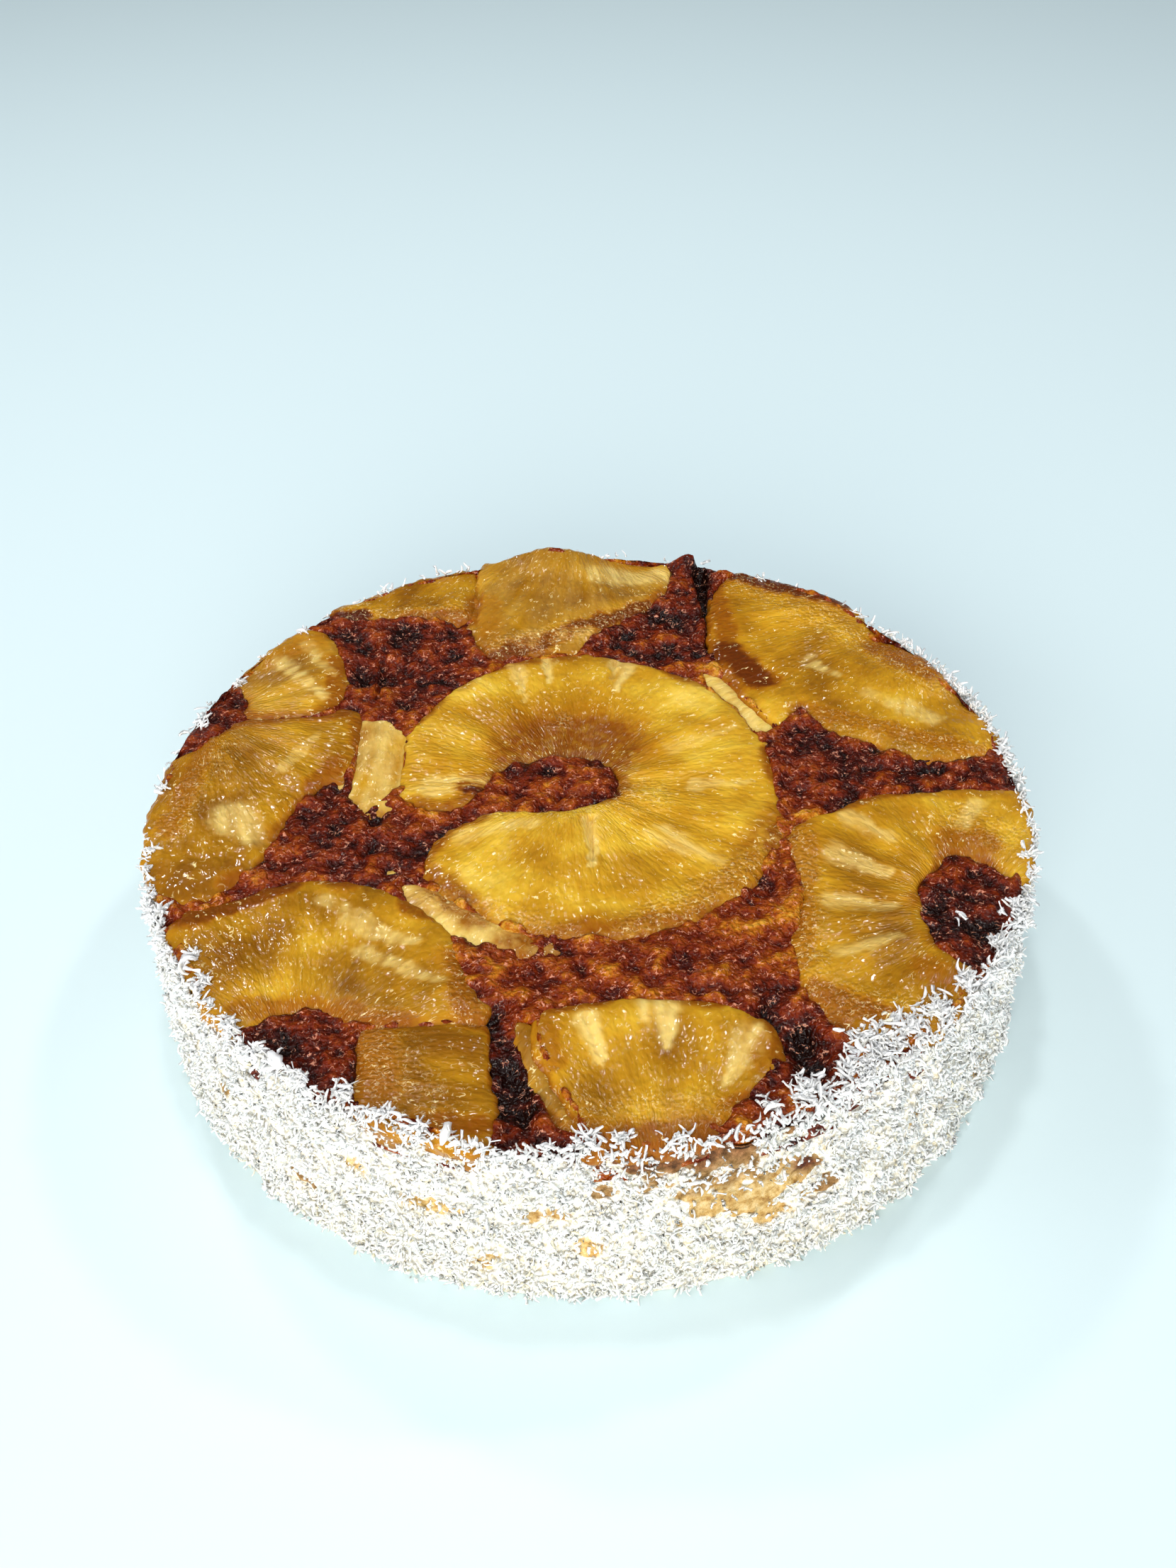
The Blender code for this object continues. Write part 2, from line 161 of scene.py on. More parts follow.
SUGARED = (
    (-18, -4, 14, -1, 4, 5, 1.0), (10, -41, 36, -22, 4, 4, 0.9), (-20, 52, 16, 68, 4, 4, 1.0),
    (-30, -30, -4, -42, 3, 3, 0.7), (-40, -66, -30, -84, 6, 6, 0.7), (44, -14, 43, -52, 4, 4, 0.8),
    (-60, 68, -30, 68, 4, 3, 0.9), (40, 80, 84, 38, 5, 5, 0.8), (50, 26, 88, 12, 4, 4, 0.6),
    (-24, -46, -22, -60, 4, 4, 0.7), (-88, -10, -80, 20, 4, 4, 0.6), (-2, -86, 24, -86, 4, 4, 0.6),
    (46, -60, 66, -66, 5, 5, 0.8), (-6, 24, -4, 26, 2, 2, 0.8), (80, -10, 88, -16, 5, 5, 0.7),
)

# How the caramel between the pieces is baked: place, spread and tone, from 0, burnt sugar, to
# 1, light brown
BAKES = (
    (78, -36, 13, 0.0), (-53, -72, 12, 0.06), (-80, 28, 8, 0.0), (8, -49, 16, 0.46),
    (38, -44, 10, 0.55), (-8, 6, 9, 0.36), (5, 4, 4, 0.15), (30, 70, 10, 0.02), (14, 60, 10, 0.08),
    (-46, 55, 14, 0.12), (-50, 38, 8, 0.15), (50, 12, 14, 0.05), (80, 6, 8, 0.1),
    (-50, -15, 12, 0.12), (-38, -7, 8, 0.25), (-14, -75, 10, 0.0), (39, -67, 9, 0.0),
    (46, -8, 6, 0.6), (-84, -46, 10, 0.45), (44, 2, 7, 0.3), (-78, -30, 6, 0.4), (52, -80, 8, 0.35),
    (0, -50, 10, 0.35), (24, -50, 10, 0.3), (27, 90, 5, 0.0),
)

# The lump of burnt sugar on the back rim: its place, its rise and the square of its spread
BACK_LUMP = (27, 88, 1.6, 12)

# Clefts and pits in the caramel: a stroke and its depth
CLEFTS = (
    (30, 86, 31, 66, 1.5, 1.1, 4.0), (31, 66, 30.5, 52, 1.1, 0.7, 2.6),
    (-47.6, 51, -47.4, 36, 0.9, 0.6, 2.2), (21, -56, 28, -57.2, 1.6, 1.4, 1.0),
    (-51, 57, -50, 55, 1.3, 1.0, 1.8), (-6, 0, 2, 1, 1.2, 1.0, 0.9),
    (-60, -23, -36, -12, 1.0, 0.8, 0.6), (-17, -63, -12, -90, 3.5, 4.0, 1.5),
    (35, -62, 43, -74, 3.0, 3.2, 1.4), (62, 8, 90, 7, 1.2, 0.9, 0.9),
)

# Thin and bare places in the coconut on the wall: degrees round from +X, height, the two
# half sizes in millimetres, how much is missing, and how brown the sponge is there
BARE_PATCHES = (
    (-65, 29, 3.0, 3.0, 1.0, 1.0), (-73, 25, 10, 5.5, 0.85, 0.2), (-76, 36, 15, 5.5, 0.5, 0.6),
    (-62, 21, 4.0, 2.4, 0.7, 0.7), (-68, 18, 5, 3, 0.5, 0.2), (-108, 24, 7.0, 3.0, 0.62, 0.1),
    (-126, 14, 4.0, 3.0, 0.7, 0.7), (-95, 25, 4.5, 2.5, 0.55, 0.3), (-90, 16, 5, 2.5, 0.45, 0.0),
    (-118, 28, 5, 3, 0.4, 0.0), (-113, 36, 3.0, 2.4, 0.42, 0.6), (-102, 10, 5, 3.5, 0.6, 0.1),
    (-140, 22, 4, 3, 0.55, 0.5), (-88, 33, 3, 2, 0.5, 0.6), (-48, 24, 3, 3, 0.55, 0.4),
    (-32, 14, 5, 4, 0.55, 0.2), (10, 30, 7, 4, 0.75, 0.2), (60, 26, 9, 5, 0.7, 0.3),
    (110, 18, 8, 5, 0.7, 0.1), (160, 28, 7, 4, 0.75, 0.5), (-165, 16, 6, 4, 0.7, 0.2),
    (85, 34, 7, 4, 0.7, 0.7), (35, 12, 6, 4, 0.6, 0.1), (135, 31, 6, 3, 0.65, 0.4),
    (-10, 20, 4, 3, 0.6, 0.3), (-80, 41, 13, 3.5, 0.35, 0.9),
)

COAT_SEED = 41
CHIP_SEED = 5
RIM_SHREDS = 1900

# Coconut that has crept over the rim onto the top: place, spread and number of shreds
RIM_CLUMPS = (
    (54, -71, 4.6, 190), (60, -67, 3.6, 120), (50, -77, 3.6, 120), (40, -82, 3.2, 90),
    (33, -85, 1.4, 16), (66, -63, 3.0, 90), (73, -56, 2.4, 60), (-77, -46, 1.2, 16),
    (-74, -54, 1.6, 26), (-73, -60, 2.0, 50), (-68, -65, 2.3, 70), (-61, -72, 2.2, 70),
    (-54, -78, 2.0, 60), (-44, -81, 1.8, 44), (-36, -86, 1.5, 26), (-30, -89, 1.4, 20),
    (0, -92, 1.8, 34), (6, -92, 1.4, 20), (16, -91, 1.4, 16), (81, -46, 1.8, 34),
    (87, -36, 1.5, 26), (92, -22, 1.2, 22), (75, -39, 0.7, 3), (83, -38, 0.7, 2),
    (-82, 43, 1.6, 30), (-87, 27, 1.6, 24), (-68, 62, 1.2, 16), (-92, 4, 1.2, 18),
    (-91, -16, 1.2, 18), (-86, -34, 1.6, 30), (-50, 79, 1.2, 12), (46, 81, 1.2, 10),
    (92, 20, 1.0, 10),
)

# Shreds that lie alone on the rim, large enough to be told apart: place, turn in degrees,
# length and width
CHIPS = (
    (-57, -73.5, 30, 4.6, 2.6), (-25, -90.6, -8, 5.2, 1.7), (33, -85.5, -60, 4.2, 1.2),
    (-78, -48, -40, 4.4, 1.6), (-75.5, -51, 70, 3.6, 1.3), (-17, -92, 10, 2.6, 0.7),
    (-16, -92.4, 100, 1.8, 0.6), (-44, -80, 80, 3.2, 0.9), (63, -64, 60, 4.0, 1.3),
    (57, -67, 80, 4.4, 1.1), (50, -72, 20, 4.2, 1.2), (75, -39.5, 40, 2.0, 1.2),
    (83, -38, 0, 2.2, 1.0), (68, -59, 50, 3.4, 1.0), (-34, -86, 60, 2.8, 0.9),
)


def linear(code):
    """A colour written as sRGB hex, as the linear values that a socket takes."""
    parts = [int(code[start:start + 2], 16) / 255 for start in (1, 3, 5)]
    curve = [p / 12.92 if p <= 0.04045 else ((p + 0.055) / 1.055) ** 2.4 for p in parts]
    return (*curve, 1.0)


def feed(owner, node, sockets):
    """Gives each of the node's inputs a value, or links it to the output that feeds it. A node in
    place of an output stands for its first output."""
    for name, value in sockets.items():
        if isinstance(value, bpy.types.Node):
            value = value.outputs[0]
        if isinstance(value, bpy.types.NodeSocket):
            owner.node_tree.links.new(value, node.inputs[name])
        else:
            node.inputs[name].default_value = value


def add_node(owner, kind, sockets=None, stops=(), **settings):
    """Adds a node with its settings and links to a material or the world. stops gives a colour
    ramp its places and colours, its two ends first."""
    made = owner.node_tree.nodes.new("ShaderNode" + kind)
    for name, value in settings.items():
        setattr(made, name, value)
    feed(owner, made, sockets or {})
    for index, (place, colour) in enumerate(stops):
        ramp = made.color_ramp.elements
        stop = ramp[index] if index < 2 else ramp.new(place)
        stop.position = place
        stop.color = linear(colour) if isinstance(colour, str) else (colour, colour, colour, 1)
    return made


def new_material(name, **principled):
    """A material and its Principled shader, which has the given plain values."""
    material = bpy.data.materials.new(name)
    material.use_nodes = True
    shader = material.node_tree.nodes["Principled BSDF"]
    feed(material, shader, {name.replace("_", " "): value for name, value in principled.items()})
    return material, shader


def strokes(places, marks, wobble=1.2):
    """For each mark, how strongly it covers each place, from 0 to 1. It is full within half its
    width, gone at one and a half, and uneven at its edge by about the wobble in millimetres."""
    shift = np.stack([grain(places, 3.0, 5.0), grain(places, 3.0, 9.0)], axis=1) * wobble
    shift += np.stack([grain(places, 1.4, 6.0), grain(places, 1.4, 7.0)], axis=1) * wobble * 0.6
    flat = places[:, :2] + shift
    for x1, y1, x2, y2, start, end, strength in marks:
        first = np.array((x1, y1))
        along = np.array((x2, y2)) - first
        share = np.clip((flat - first) @ along / (along @ along), 0, 1)
        away = np.linalg.norm(flat - first - share[:, None] * along, axis=1)
        width = start + (end - start) * share
        yield strength * smooth(1.5 - away / width)


def covered(places, marks, wobble=1.2):
    """How strongly the strongest of the marks covers each place."""
    total = np.zeros(len(places))
    for cover in strokes(places, marks, wobble):
        total = np.maximum(total, cover)
    return total


def smooth(value):
    """Eases a value from 0 to 1 and holds it there."""
    held = np.clip(value, 0, 1)
    return held * held * (3 - 2 * held)


def grain(places, size, seed=0.0, basis="PERLIN_ORIGINAL"):
    """Noise at each place, with features of that size in millimetres."""
    shift = Vector((seed * 7.3, seed * 3.1, seed * 5.7))
    return np.array(
        [noise.noise(Vector(place) / size + shift, noise_basis=basis) for place in places]
    )


def top_level(x, y):
    """The height of the fruit's faces, in millimetres, as in the solids."""
    level = np.full(np.shape(x), HEIGHT)
    for rise_x, rise_y, rise, spread in RISES:
        level = level + rise * np.exp(-((x - rise_x) ** 2 + (y - rise_y) ** 2) / spread ** 2)
    return level


def round_places(angle, radius, height):
    """Places given by their angle, their distance from the cake's axis, and their height."""
    return np.stack([np.cos(angle) * radius, np.sin(angle) * radius, height], axis=1)


def wall_radius(angle, height):
    """The wall's radius in millimetres, as in the solids."""
    share = height / HEIGHT
    radius = BASE_RADIUS + (TOP_RADIUS - BASE_RADIUS) * share
    radius = radius + LOPSIDED * np.cos(angle - LOPSIDED_WAY)
    return radius + WALL_WAVE * grain(round_places(angle, TOP_RADIUS, height), WALL_WAVE_LENGTH)


def outline_of(node_name):
    """The corners of a fruit node's flat underside, in order, in millimetres."""
    mesh = bmesh.new()
    mesh.from_mesh(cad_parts[node_name].data)
    bmesh.ops.remove_doubles(mesh, verts=mesh.verts, dist=1e-6)
    floor = min(vert.co.z for vert in mesh.verts)
    under = [face for face in mesh.faces if face.calc_center_median().z < floor + 1e-5]
    edges = {}
    for face in under:
        for edge in face.edges:
            edges[edge] = edges.get(edge, 0) + 1
    beside = {}
    for edge, uses in edges.items():
        if uses == 1:
            first, second = edge.verts
            beside.setdefault(first, []).append(second)
            beside.setdefault(second, []).append(first)
    start = next(iter(beside))
    loop = [start, beside[start][0]]
    while True:
        onward = [vert for vert in beside[loop[-1]] if vert != loop[-2]]
        if onward[0] == start:
            break
        loop.append(onward[0])
    corners = np.array([(vert.co.x, vert.co.y) for vert in loop]) / MM
    mesh.free()
    return corners


def depth_inside(flat, corners):
    """How far each place lies inside an outline; negative outside."""
    nearest = np.full(len(flat), np.inf)
    inside = np.zeros(len(flat), bool)
    for start, end in zip(corners, np.roll(corners, -1, axis=0)):
        edge = end - start
        share = np.clip((flat - start) @ edge / (edge @ edge), 0, 1)
        away = np.linalg.norm(flat - start - share[:, None] * edge, axis=1)
        nearest = np.minimum(nearest, away)
        if start[1] != end[1]:
            spans = (start[1] > flat[:, 1]) != (end[1] > flat[:, 1])
            cross = start[0] + edge[0] * (flat[:, 1] - start[1]) / edge[1]
            inside ^= spans & (flat[:, 0] < cross)
    return np.where(inside, nearest, -nearest)


def depth_near(flat, corners):
    """The same, worked out only near the outline, and far outside beyond that."""
    middle = (corners.max(axis=0) + corners.min(axis=0)) / 2
    half = (corners.max(axis=0) - corners.min(axis=0)) / 2
    near = (np.abs(flat - middle) < half + LONGEST_GAP).all(axis=1)
    depth = np.full(len(flat), -99.0)
    depth[near] = depth_inside(flat[near], corners)
    return depth


def deselect_all():
    if bpy.context.object and bpy.context.object.mode == "EDIT":
        bpy.ops.object.mode_set(mode="OBJECT")
    bpy.ops.object.select_all(action="DESELECT")


def pick(piece):
    """Makes the piece the only one selected, and the active one."""
    deselect_all()
    piece.select_set(True)
    bpy.context.view_layer.objects.active = piece


def finish_modifier(piece, kind, **settings):
    """Adds a modifier with its settings and applies it."""
    pick(piece)
    modifier = piece.modifiers.new(kind.lower(), kind)
    for name, value in settings.items():
        setattr(modifier, name, value)
    bpy.ops.object.modifier_apply(modifier=modifier.name)


def places_of(piece):
    """The piece's vertices in millimetres."""
    found = np.empty(len(piece.data.vertices) * 3, np.float32)
    piece.data.vertices.foreach_get("co", found)
    return found.reshape(-1, 3).astype(float) / MM


def normals_of(piece):
    found = np.empty(len(piece.data.vertices) * 3, np.float32)
    piece.data.vertices.foreach_get("normal", found)
    return found.reshape(-1, 3).astype(float)


def move_to(piece, places):
    piece.data.vertices.foreach_set("co", (places * MM).astype(np.float32).ravel())
    piece.data.update()


def paint(piece, name, values):
    """Stores a number, or three, at each vertex for the material to read."""
    kind = "FLOAT" if np.ndim(values) == 1 else "FLOAT_VECTOR"
    layer = piece.data.attributes.new(name, kind, "POINT")
    layer.data.foreach_set("value" if kind == "FLOAT" else "vector", np.ravel(values))


def dress(piece, material, slot, *nodes):
    """Gives the piece its material and its place in the frame."""
    piece.data.materials.clear()
    piece.data.materials.append(material)
    pick(piece)
    bpy.ops.object.shade_smooth()
    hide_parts(*nodes)
    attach(piece, "root")


def squiggles(material, places, size, sparse):
    """Short crooked lines that lie about one size apart, and cover less the higher sparse is.
    Both places and size are in millimetres."""
    field = add_node(
        material, "TexNoise", {"Vector": places, "Scale": 1 / size, "Detail": 0.5, "Distortion": 0.5},
    )
    level = add_node(material, "Math", {0: field, 1: 0.5}, operation="SUBTRACT")
    level = add_node(material, "Math", {0: level}, operation="ABSOLUTE")
    line = add_node(
        material, "MapRange", {"Value": level, "From Max": 0.055, "To Min": 1.0, "To Max": 0.0},
    )
    gate = add_node(
        material, "TexNoise", {"Vector": places, "Scale": 1 / (1.3 * size), "Detail": 1.0},
    )
    gate = add_node(
        material, "MapRange", {"Value": gate, "From Min": sparse, "From Max": sparse + 0.07},
    )
    return add_node(material, "Math", {0: line, 1: gate}, operation="MULTIPLY", use_clamp=True)


def in_millimetres(material):
    """The place on the piece, in millimetres."""
    place = add_node(material, "TexCoord").outputs["Object"]
    return add_node(material, "VectorMath", {0: place, "Scale": 1 / MM}, operation="SCALE")


def stretched(material, fibre, size, length):
    """The fibre's coordinates divided by a strand's width and length in millimetres."""
    share = (1 / size, 1 / length, 1 / length)
    return add_node(material, "VectorMath", {0: fibre, 1: share}, operation="MULTIPLY")


def pineapple_material():
    """Baked pineapple under syrup: wet translucent flesh, so light sinks in and glints sit on the
    fibres, and more glints are painted into its colour as short bright lines. Read from the piece:
    fibre (across and along the fibres), stain, pale, sugar and ripeness."""
    material, shader = new_material(
        "pineapple_baked_and_syrup_glazed",
        IOR=1.12, Subsurface_Weight=0.25, Subsurface_Scale=0.003, Coat_Weight=0.32,
        Subsurface_Radius=(1.0, 0.5, 0.12), Coat_Roughness=0.05, Coat_IOR=1.5,
    )
    fibre = add_node(material, "Attribute", attribute_name="fibre").outputs["Vector"]
    stain, pale, sugar, ripeness = [
        add_node(material, "Attribute", attribute_name=name).outputs["Fac"]
        for name in ("stain", "pale", "sugar", "ripeness")
    ]
    place = in_millimetres(material)
    # Fibres about 0.9 mm apart and bundles about 3 mm wide, both several times longer, in clouds
    # of riper and paler flesh about 15 mm across
    fine = add_node(
        material, "TexNoise",
        {"Vector": stretched(material, fibre, 0.9, 5.0), "Scale": 1.0, "Detail": 3.0, "Roughness": 0.55},
    )
    broad = add_node(
        material, "TexNoise",
        {"Vector": stretched(material, fibre, 3.0, 12.0), "Scale": 1.0, "Detail": 2.0, "Distortion": 0.6},
    )
    cloud = add_node(material, "TexNoise", {"Vector": place, "Scale": 1 / 13, "Detail": 1.5})
    tone = add_node(material, "Math", {0: fine, 1: 0.07, 2: ripeness}, operation="MULTIPLY_ADD")
    tone = add_node(material, "Math", {0: broad, 1: 0.15, 2: tone}, operation="MULTIPLY_ADD")
    tone = add_node(material, "Math", {0: cloud, 1: 0.54, 2: tone}, operation="MULTIPLY_ADD")
    flesh = add_node(
        material, "ValToRGB", {"Fac": tone},
        stops=((0.34, "#86540A"), (0.76, "#ECC858"), (0.45, "#AA7612"), (0.56, "#C6921E"),
               (0.66, "#DCB032")),
    )
    ripe = add_node(material, "Mix", {0: pale, 6: flesh, 7: linear("#F0D27C")}, data_type="RGBA")
    toffee = add_node(
        material, "ValToRGB", {"Fac": stain},
        stops=((0.0, "#BE8614"), (1.0, "#3A0D05"), (0.35, "#AE700C"), (0.60, "#905007"),
               (0.80, "#5E2605")),
    )
    # Toffee soaks in unevenly, in specks of about 2 mm
    patchy = add_node(
        material, "TexNoise", {"Vector": place, "Scale": 1 / 2.2, "Detail": 4.0, "Roughness": 0.65},
    )
    patchy = add_node(material, "Math", {0: patchy, 1: 1.2, 2: -0.6}, operation="MULTIPLY_ADD")
    amount = add_node(
        material, "Math", {0: patchy, 1: stain, 2: stain}, operation="MULTIPLY_ADD", use_clamp=True,
    )
    amount = add_node(material, "Math", {0: amount, 1: 1.45}, operation="MULTIPLY", use_clamp=True)
    stained = add_node(
        material, "Mix", {0: amount, 6: ripe.outputs[2], 7: toffee}, data_type="RGBA",
    ).outputs[2]
    # Painted glints: short bright lines painted into the colour as highlights on the wet syrup, here
    # and there in patches of about 9 mm, and close together where the syrup bubbled
    painted_glint_lines = squiggles(material, stretched(material, fibre, 1.0, 1.7), 0.85, 0.57)
    bubbled_painted_glints = squiggles(material, place, 0.85, 0.50)
    bubbled_painted_glints = add_node(material, "Math", {0: bubbled_painted_glints, 1: sugar}, operation="MULTIPLY")
    patches = add_node(material, "TexNoise", {"Vector": place, "Scale": 1 / 9, "Detail": 2.0})
    patches = add_node(
        material, "MapRange", {"Value": patches, "From Min": 0.42, "From Max": 0.62, "To Min": 0.12},
    )
    scattered_painted_glints = add_node(material, "Math", {0: painted_glint_lines, 1: patches}, operation="MULTIPLY")
    scattered_painted_glints = add_node(material, "Math", {0: scattered_painted_glints, 1: 1.1}, operation="MULTIPLY")
    painted_glints = add_node(material, "Math", {0: bubbled_painted_glints, 1: 0.55, 2: scattered_painted_glints}, operation="MULTIPLY_ADD")
    with_painted_glints = add_node(
        material, "Mix", {0: painted_glints, 6: stained, 7: linear("#FFE8A8")}, data_type="RGBA",
    ).outputs[2]
    # Syrup pools smooth in places and dries duller in others
    gloss = add_node(material, "TexNoise", {"Vector": place, "Scale": 1 / 5, "Detail": 3.0})
    gloss = add_node(material, "MapRange", {"Value": gloss, "To Min": 0.16, "To Max": 0.42})
    # The glaze lies in smooth waves about 2 mm long, twice as high where the syrup bubbled
    waves = add_node(
        material, "TexNoise",
        {"Vector": stretched(material, fibre, 0.9, 1.8), "Scale": 1.0, "Detail": 0.5, "Distortion": 0.3},
    )
    bubbles = add_node(material, "TexNoise", {"Vector": place, "Scale": 1 / 0.8, "Detail": 0.0})
    bubbles = add_node(material, "Math", {0: bubbles, 1: sugar}, operation="MULTIPLY")
    relief = add_node(material, "Math", {0: bubbles, 1: 1.3, 2: waves}, operation="MULTIPLY_ADD")
    bump = add_node(material, "Bump", {"Strength": 1.0, "Distance": 0.36 * MM, "Height": relief})
    feed(material, shader, {
        "Base Color": with_painted_glints, "Roughness": gloss, "Normal": bump, "Coat Normal": bump,
    })
    return material


def caramel_material():
    """Caramelised crumb: sugar boiled into the sponge, so it is dark, wet and granular. Read from the
    piece: tone, from burnt to light, and painted shade, darker in the pits, lighter on the lumps."""
    material, shader = new_material(
        "caramel_boiled_into_crumb",
        IOR=1.12, Subsurface_Weight=0.06, Subsurface_Scale=0.0015, Coat_Weight=0.34,
        Subsurface_Radius=(1.0, 0.3, 0.1), Coat_Roughness=0.05, Coat_IOR=1.5,
    )
    tone = add_node(material, "Attribute", attribute_name="tone").outputs["Fac"]
    deep = add_node(material, "Attribute", attribute_name="deep").outputs["Fac"]
    place = in_millimetres(material)
    # Crumbs of about 1.7 mm in clumps of about 6 mm
    crumb = add_node(
        material, "TexNoise", {"Vector": place, "Scale": 1 / 1.7, "Detail": 3.0, "Roughness": 0.6},
    )
    clump = add_node(material, "TexNoise", {"Vector": place, "Scale": 1 / 6, "Detail": 3.0})
    shade = add_node(material, "Math", {0: crumb, 1: 0.9, 2: -0.45}, operation="MULTIPLY_ADD")
    shade = add_node(material, "Math", {0: clump, 1: 0.7, 2: shade}, operation="MULTIPLY_ADD")
    shade = add_node(material, "Math", {0: shade, 1: -0.16}, operation="ADD")
    shade = add_node(material, "Math", {0: shade, 1: tone}, operation="ADD")
    # Painted shade: the pits and clefts are darker and the high lumps and grains lighter
    shade = add_node(material, "Math", {0: shade, 1: deep}, operation="SUBTRACT")
    colour = add_node(
        material, "ValToRGB", {"Fac": shade},
        stops=((0.10, "#150301"), (1.10, "#C48A28"), (0.30, "#3C0A02"), (0.50, "#681C02"),
               (0.70, "#8A3A06"), (0.90, "#B0680C")),
    )
    # Painted glints: short pale lines painted into the colour as highlights of the syrup on the crumbs
    painted_glint_lines = squiggles(material, place, 0.95, 0.555)
    painted_glint_lines = add_node(material, "Math", {0: painted_glint_lines, 1: 0.85}, operation="MULTIPLY")
    with_painted_glints = add_node(
        material, "Mix", {0: painted_glint_lines, 6: colour, 7: linear("#E8A082")}, data_type="RGBA",
    ).outputs[2]
    gloss = add_node(material, "MapRange", {"Value": clump, "To Min": 0.16, "To Max": 0.42})
    # A film of syrup smooths the crumbs into wet beads about 1.5 mm across
    beads = add_node(
        material, "TexNoise", {"Vector": place, "Scale": 1 / 0.8, "Detail": 0.6, "Distortion": 0.3},
    )
    bump = add_node(material, "Bump", {"Strength": 1.0, "Distance": 0.9 * MM, "Height": beads})
    feed(material, shader, {
        "Base Color": with_painted_glints, "Roughness": gloss, "Normal": bump, "Coat Normal": bump,
    })
    return material


def wall_material():
    """Butter sponge rolled in fine coconut: dull golden crumb that shows only where the white
    meal is thin, and brown where syrup has soaked in. Read from the piece: coat, how thickly
    the meal lies, and soaked."""
    material, shader = new_material("butter_sponge_rolled_in_coconut_meal", Roughness=0.85, IOR=1.4)
    coat = add_node(material, "Attribute", attribute_name="coat").outputs["Fac"]
    soaked = add_node(material, "Attribute", attribute_name="soaked").outputs["Fac"]
    place = in_millimetres(material)
    crumb = add_node(
        material, "TexNoise", {"Vector": place, "Scale": 1 / 1.6, "Detail": 5.0, "Roughness": 0.65},
    )
    golden = add_node(
        material, "ValToRGB", {"Fac": crumb},
        stops=((0.3, "#9C6A30"), (0.75, "#F4E2B6"), (0.45, "#CEA45C"), (0.58, "#E8C888")),
    )
    brown = add_node(
        material, "ValToRGB", {"Fac": crumb},
        stops=((0.3, "#1E0703"), (0.75, "#A4602A"), (0.45, "#4A1A0A"), (0.58, "#74360F")),
    )
    sponge = add_node(material, "Mix", {0: soaked, 6: golden, 7: brown}, data_type="RGBA").outputs[2]
    meal = add_node(material, "TexNoise", {"Vector": place, "Scale": 1 / 0.9, "Detail": 3.0})
    white = add_node(
        material, "ValToRGB", {"Fac": meal},
        stops=((0.3, "#D0C2A0"), (0.62, "#FAF8F2"), (0.45, "#F2EBDB")),
    )
    spread = add_node(
        material, "TexNoise", {"Vector": place, "Scale": 1 / 2.0, "Detail": 4.0, "Roughness": 0.7},
    )
    edge = add_node(material, "Math", {0: coat, 1: 1.5, 2: -0.75}, operation="MULTIPLY_ADD")
    edge = add_node(material, "Math", {0: spread, 1: edge}, operation="ADD")
    edge = add_node(material, "MapRange", {"Value": edge, "From Min": 0.42, "From Max": 0.60})
    colour = add_node(material, "Mix", {0: edge, 6: sponge, 7: white}, data_type="RGBA").outputs[2]
    bump = add_node(material, "Bump", {"Strength": 1.0, "Distance": 1.0 * MM, "Height": spread})
    feed(material, shader, {"Base Color": colour, "Normal": bump})
    return material


def coconut_material():
    """Desiccated coconut: dry white grated flesh, dull and a little see-through, with a cream cast on
    some shreds and painted warm bounce light on the lower ones. Read from the piece one number for each
    shred: its cream cast with the painted bounce light added."""
    material, shader = new_material(
        "coconut_grated_and_dried", Roughness=0.6, IOR=1.35,
        Subsurface_Weight=0.5, Subsurface_Scale=0.0015, Subsurface_Radius=(1.0, 0.9, 0.75),
    )
    cream_and_painted_bounce = add_node(material, "Attribute", attribute_name="cream_and_painted_bounce").outputs["Fac"]
    colour = add_node(
        material, "ValToRGB", {"Fac": cream_and_painted_bounce},
        stops=((0.0, "#FDFEFF"), (1.0, "#F0E2BC"), (0.6, "#FCFBF7"), (0.88, "#F6F0DC")),
    )
    feed(material, shader, {"Base Color": colour})
    return material


def slice_skin(piece_name, node_name):
    """A copy of the slice's solid with an even, softened skin."""
    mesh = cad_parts[node_name].data.copy()
    piece = bpy.data.objects.new(piece_name, mesh)
    bpy.context.scene.collection.objects.link(piece)
    pick(piece)
    bpy.ops.object.mode_set(mode="EDIT")
    bpy.ops.mesh.select_all(action="SELECT")
    bpy.ops.mesh.remove_doubles(threshold=1e-6)
    bpy.ops.object.mode_set(mode="OBJECT")
    finish_modifier(piece, "REMESH", mode="VOXEL", voxel_size=FRUIT_SKIN * MM)
    finish_modifier(piece, "SMOOTH", factor=0.5, iterations=4)
    return piece


def edge_growth(piece_name, paleness, places, corners, outlines):
    """How far the slice's ragged edge stands out past its solid, in millimetres."""
    growth = EDGE_GROWTH + 0.9 * grain(places, 2.6, 1.0) + 1.1 * grain(places, 6.5, 2.0)
    if paleness > 0.3:
        growth = SLIVER_GROWTH + 0.4 * growth
    # Slices that lie close together were pressed until they nearly met
    gap = np.full(len(places), LONGEST_GAP)
    for other in outlines:
        if other is not corners:
            gap = np.minimum(gap, np.maximum(-depth_near(places[:, :2], other), 0))
    return growth + 0.45 * gap * smooth((6.0 - gap) / 2) * (piece_name != "front_sliver")


def fibre_of(node_name, core, places, corners):
    """Each place across and along the fibres, and its height, in millimetres. The fibres run out
    from the core, and their seam lies where the slice is open or absent."""
    from_core = places[:, :2] - np.array(core)
    away = np.linalg.norm(from_core, axis=1)
    seam = math.atan2(*(np.array(core) - corners.mean(axis=0))[::-1])
    if node_name == "pineapple_ring":
        seam = RING_SLOT
    turn = (np.arctan2(from_core[:, 1], from_core[:, 0]) - seam) % (2 * math.pi)
    across = turn * max(14.0, float(np.median(away)))
    return np.stack([across, away, places[:, 2]], axis=1)


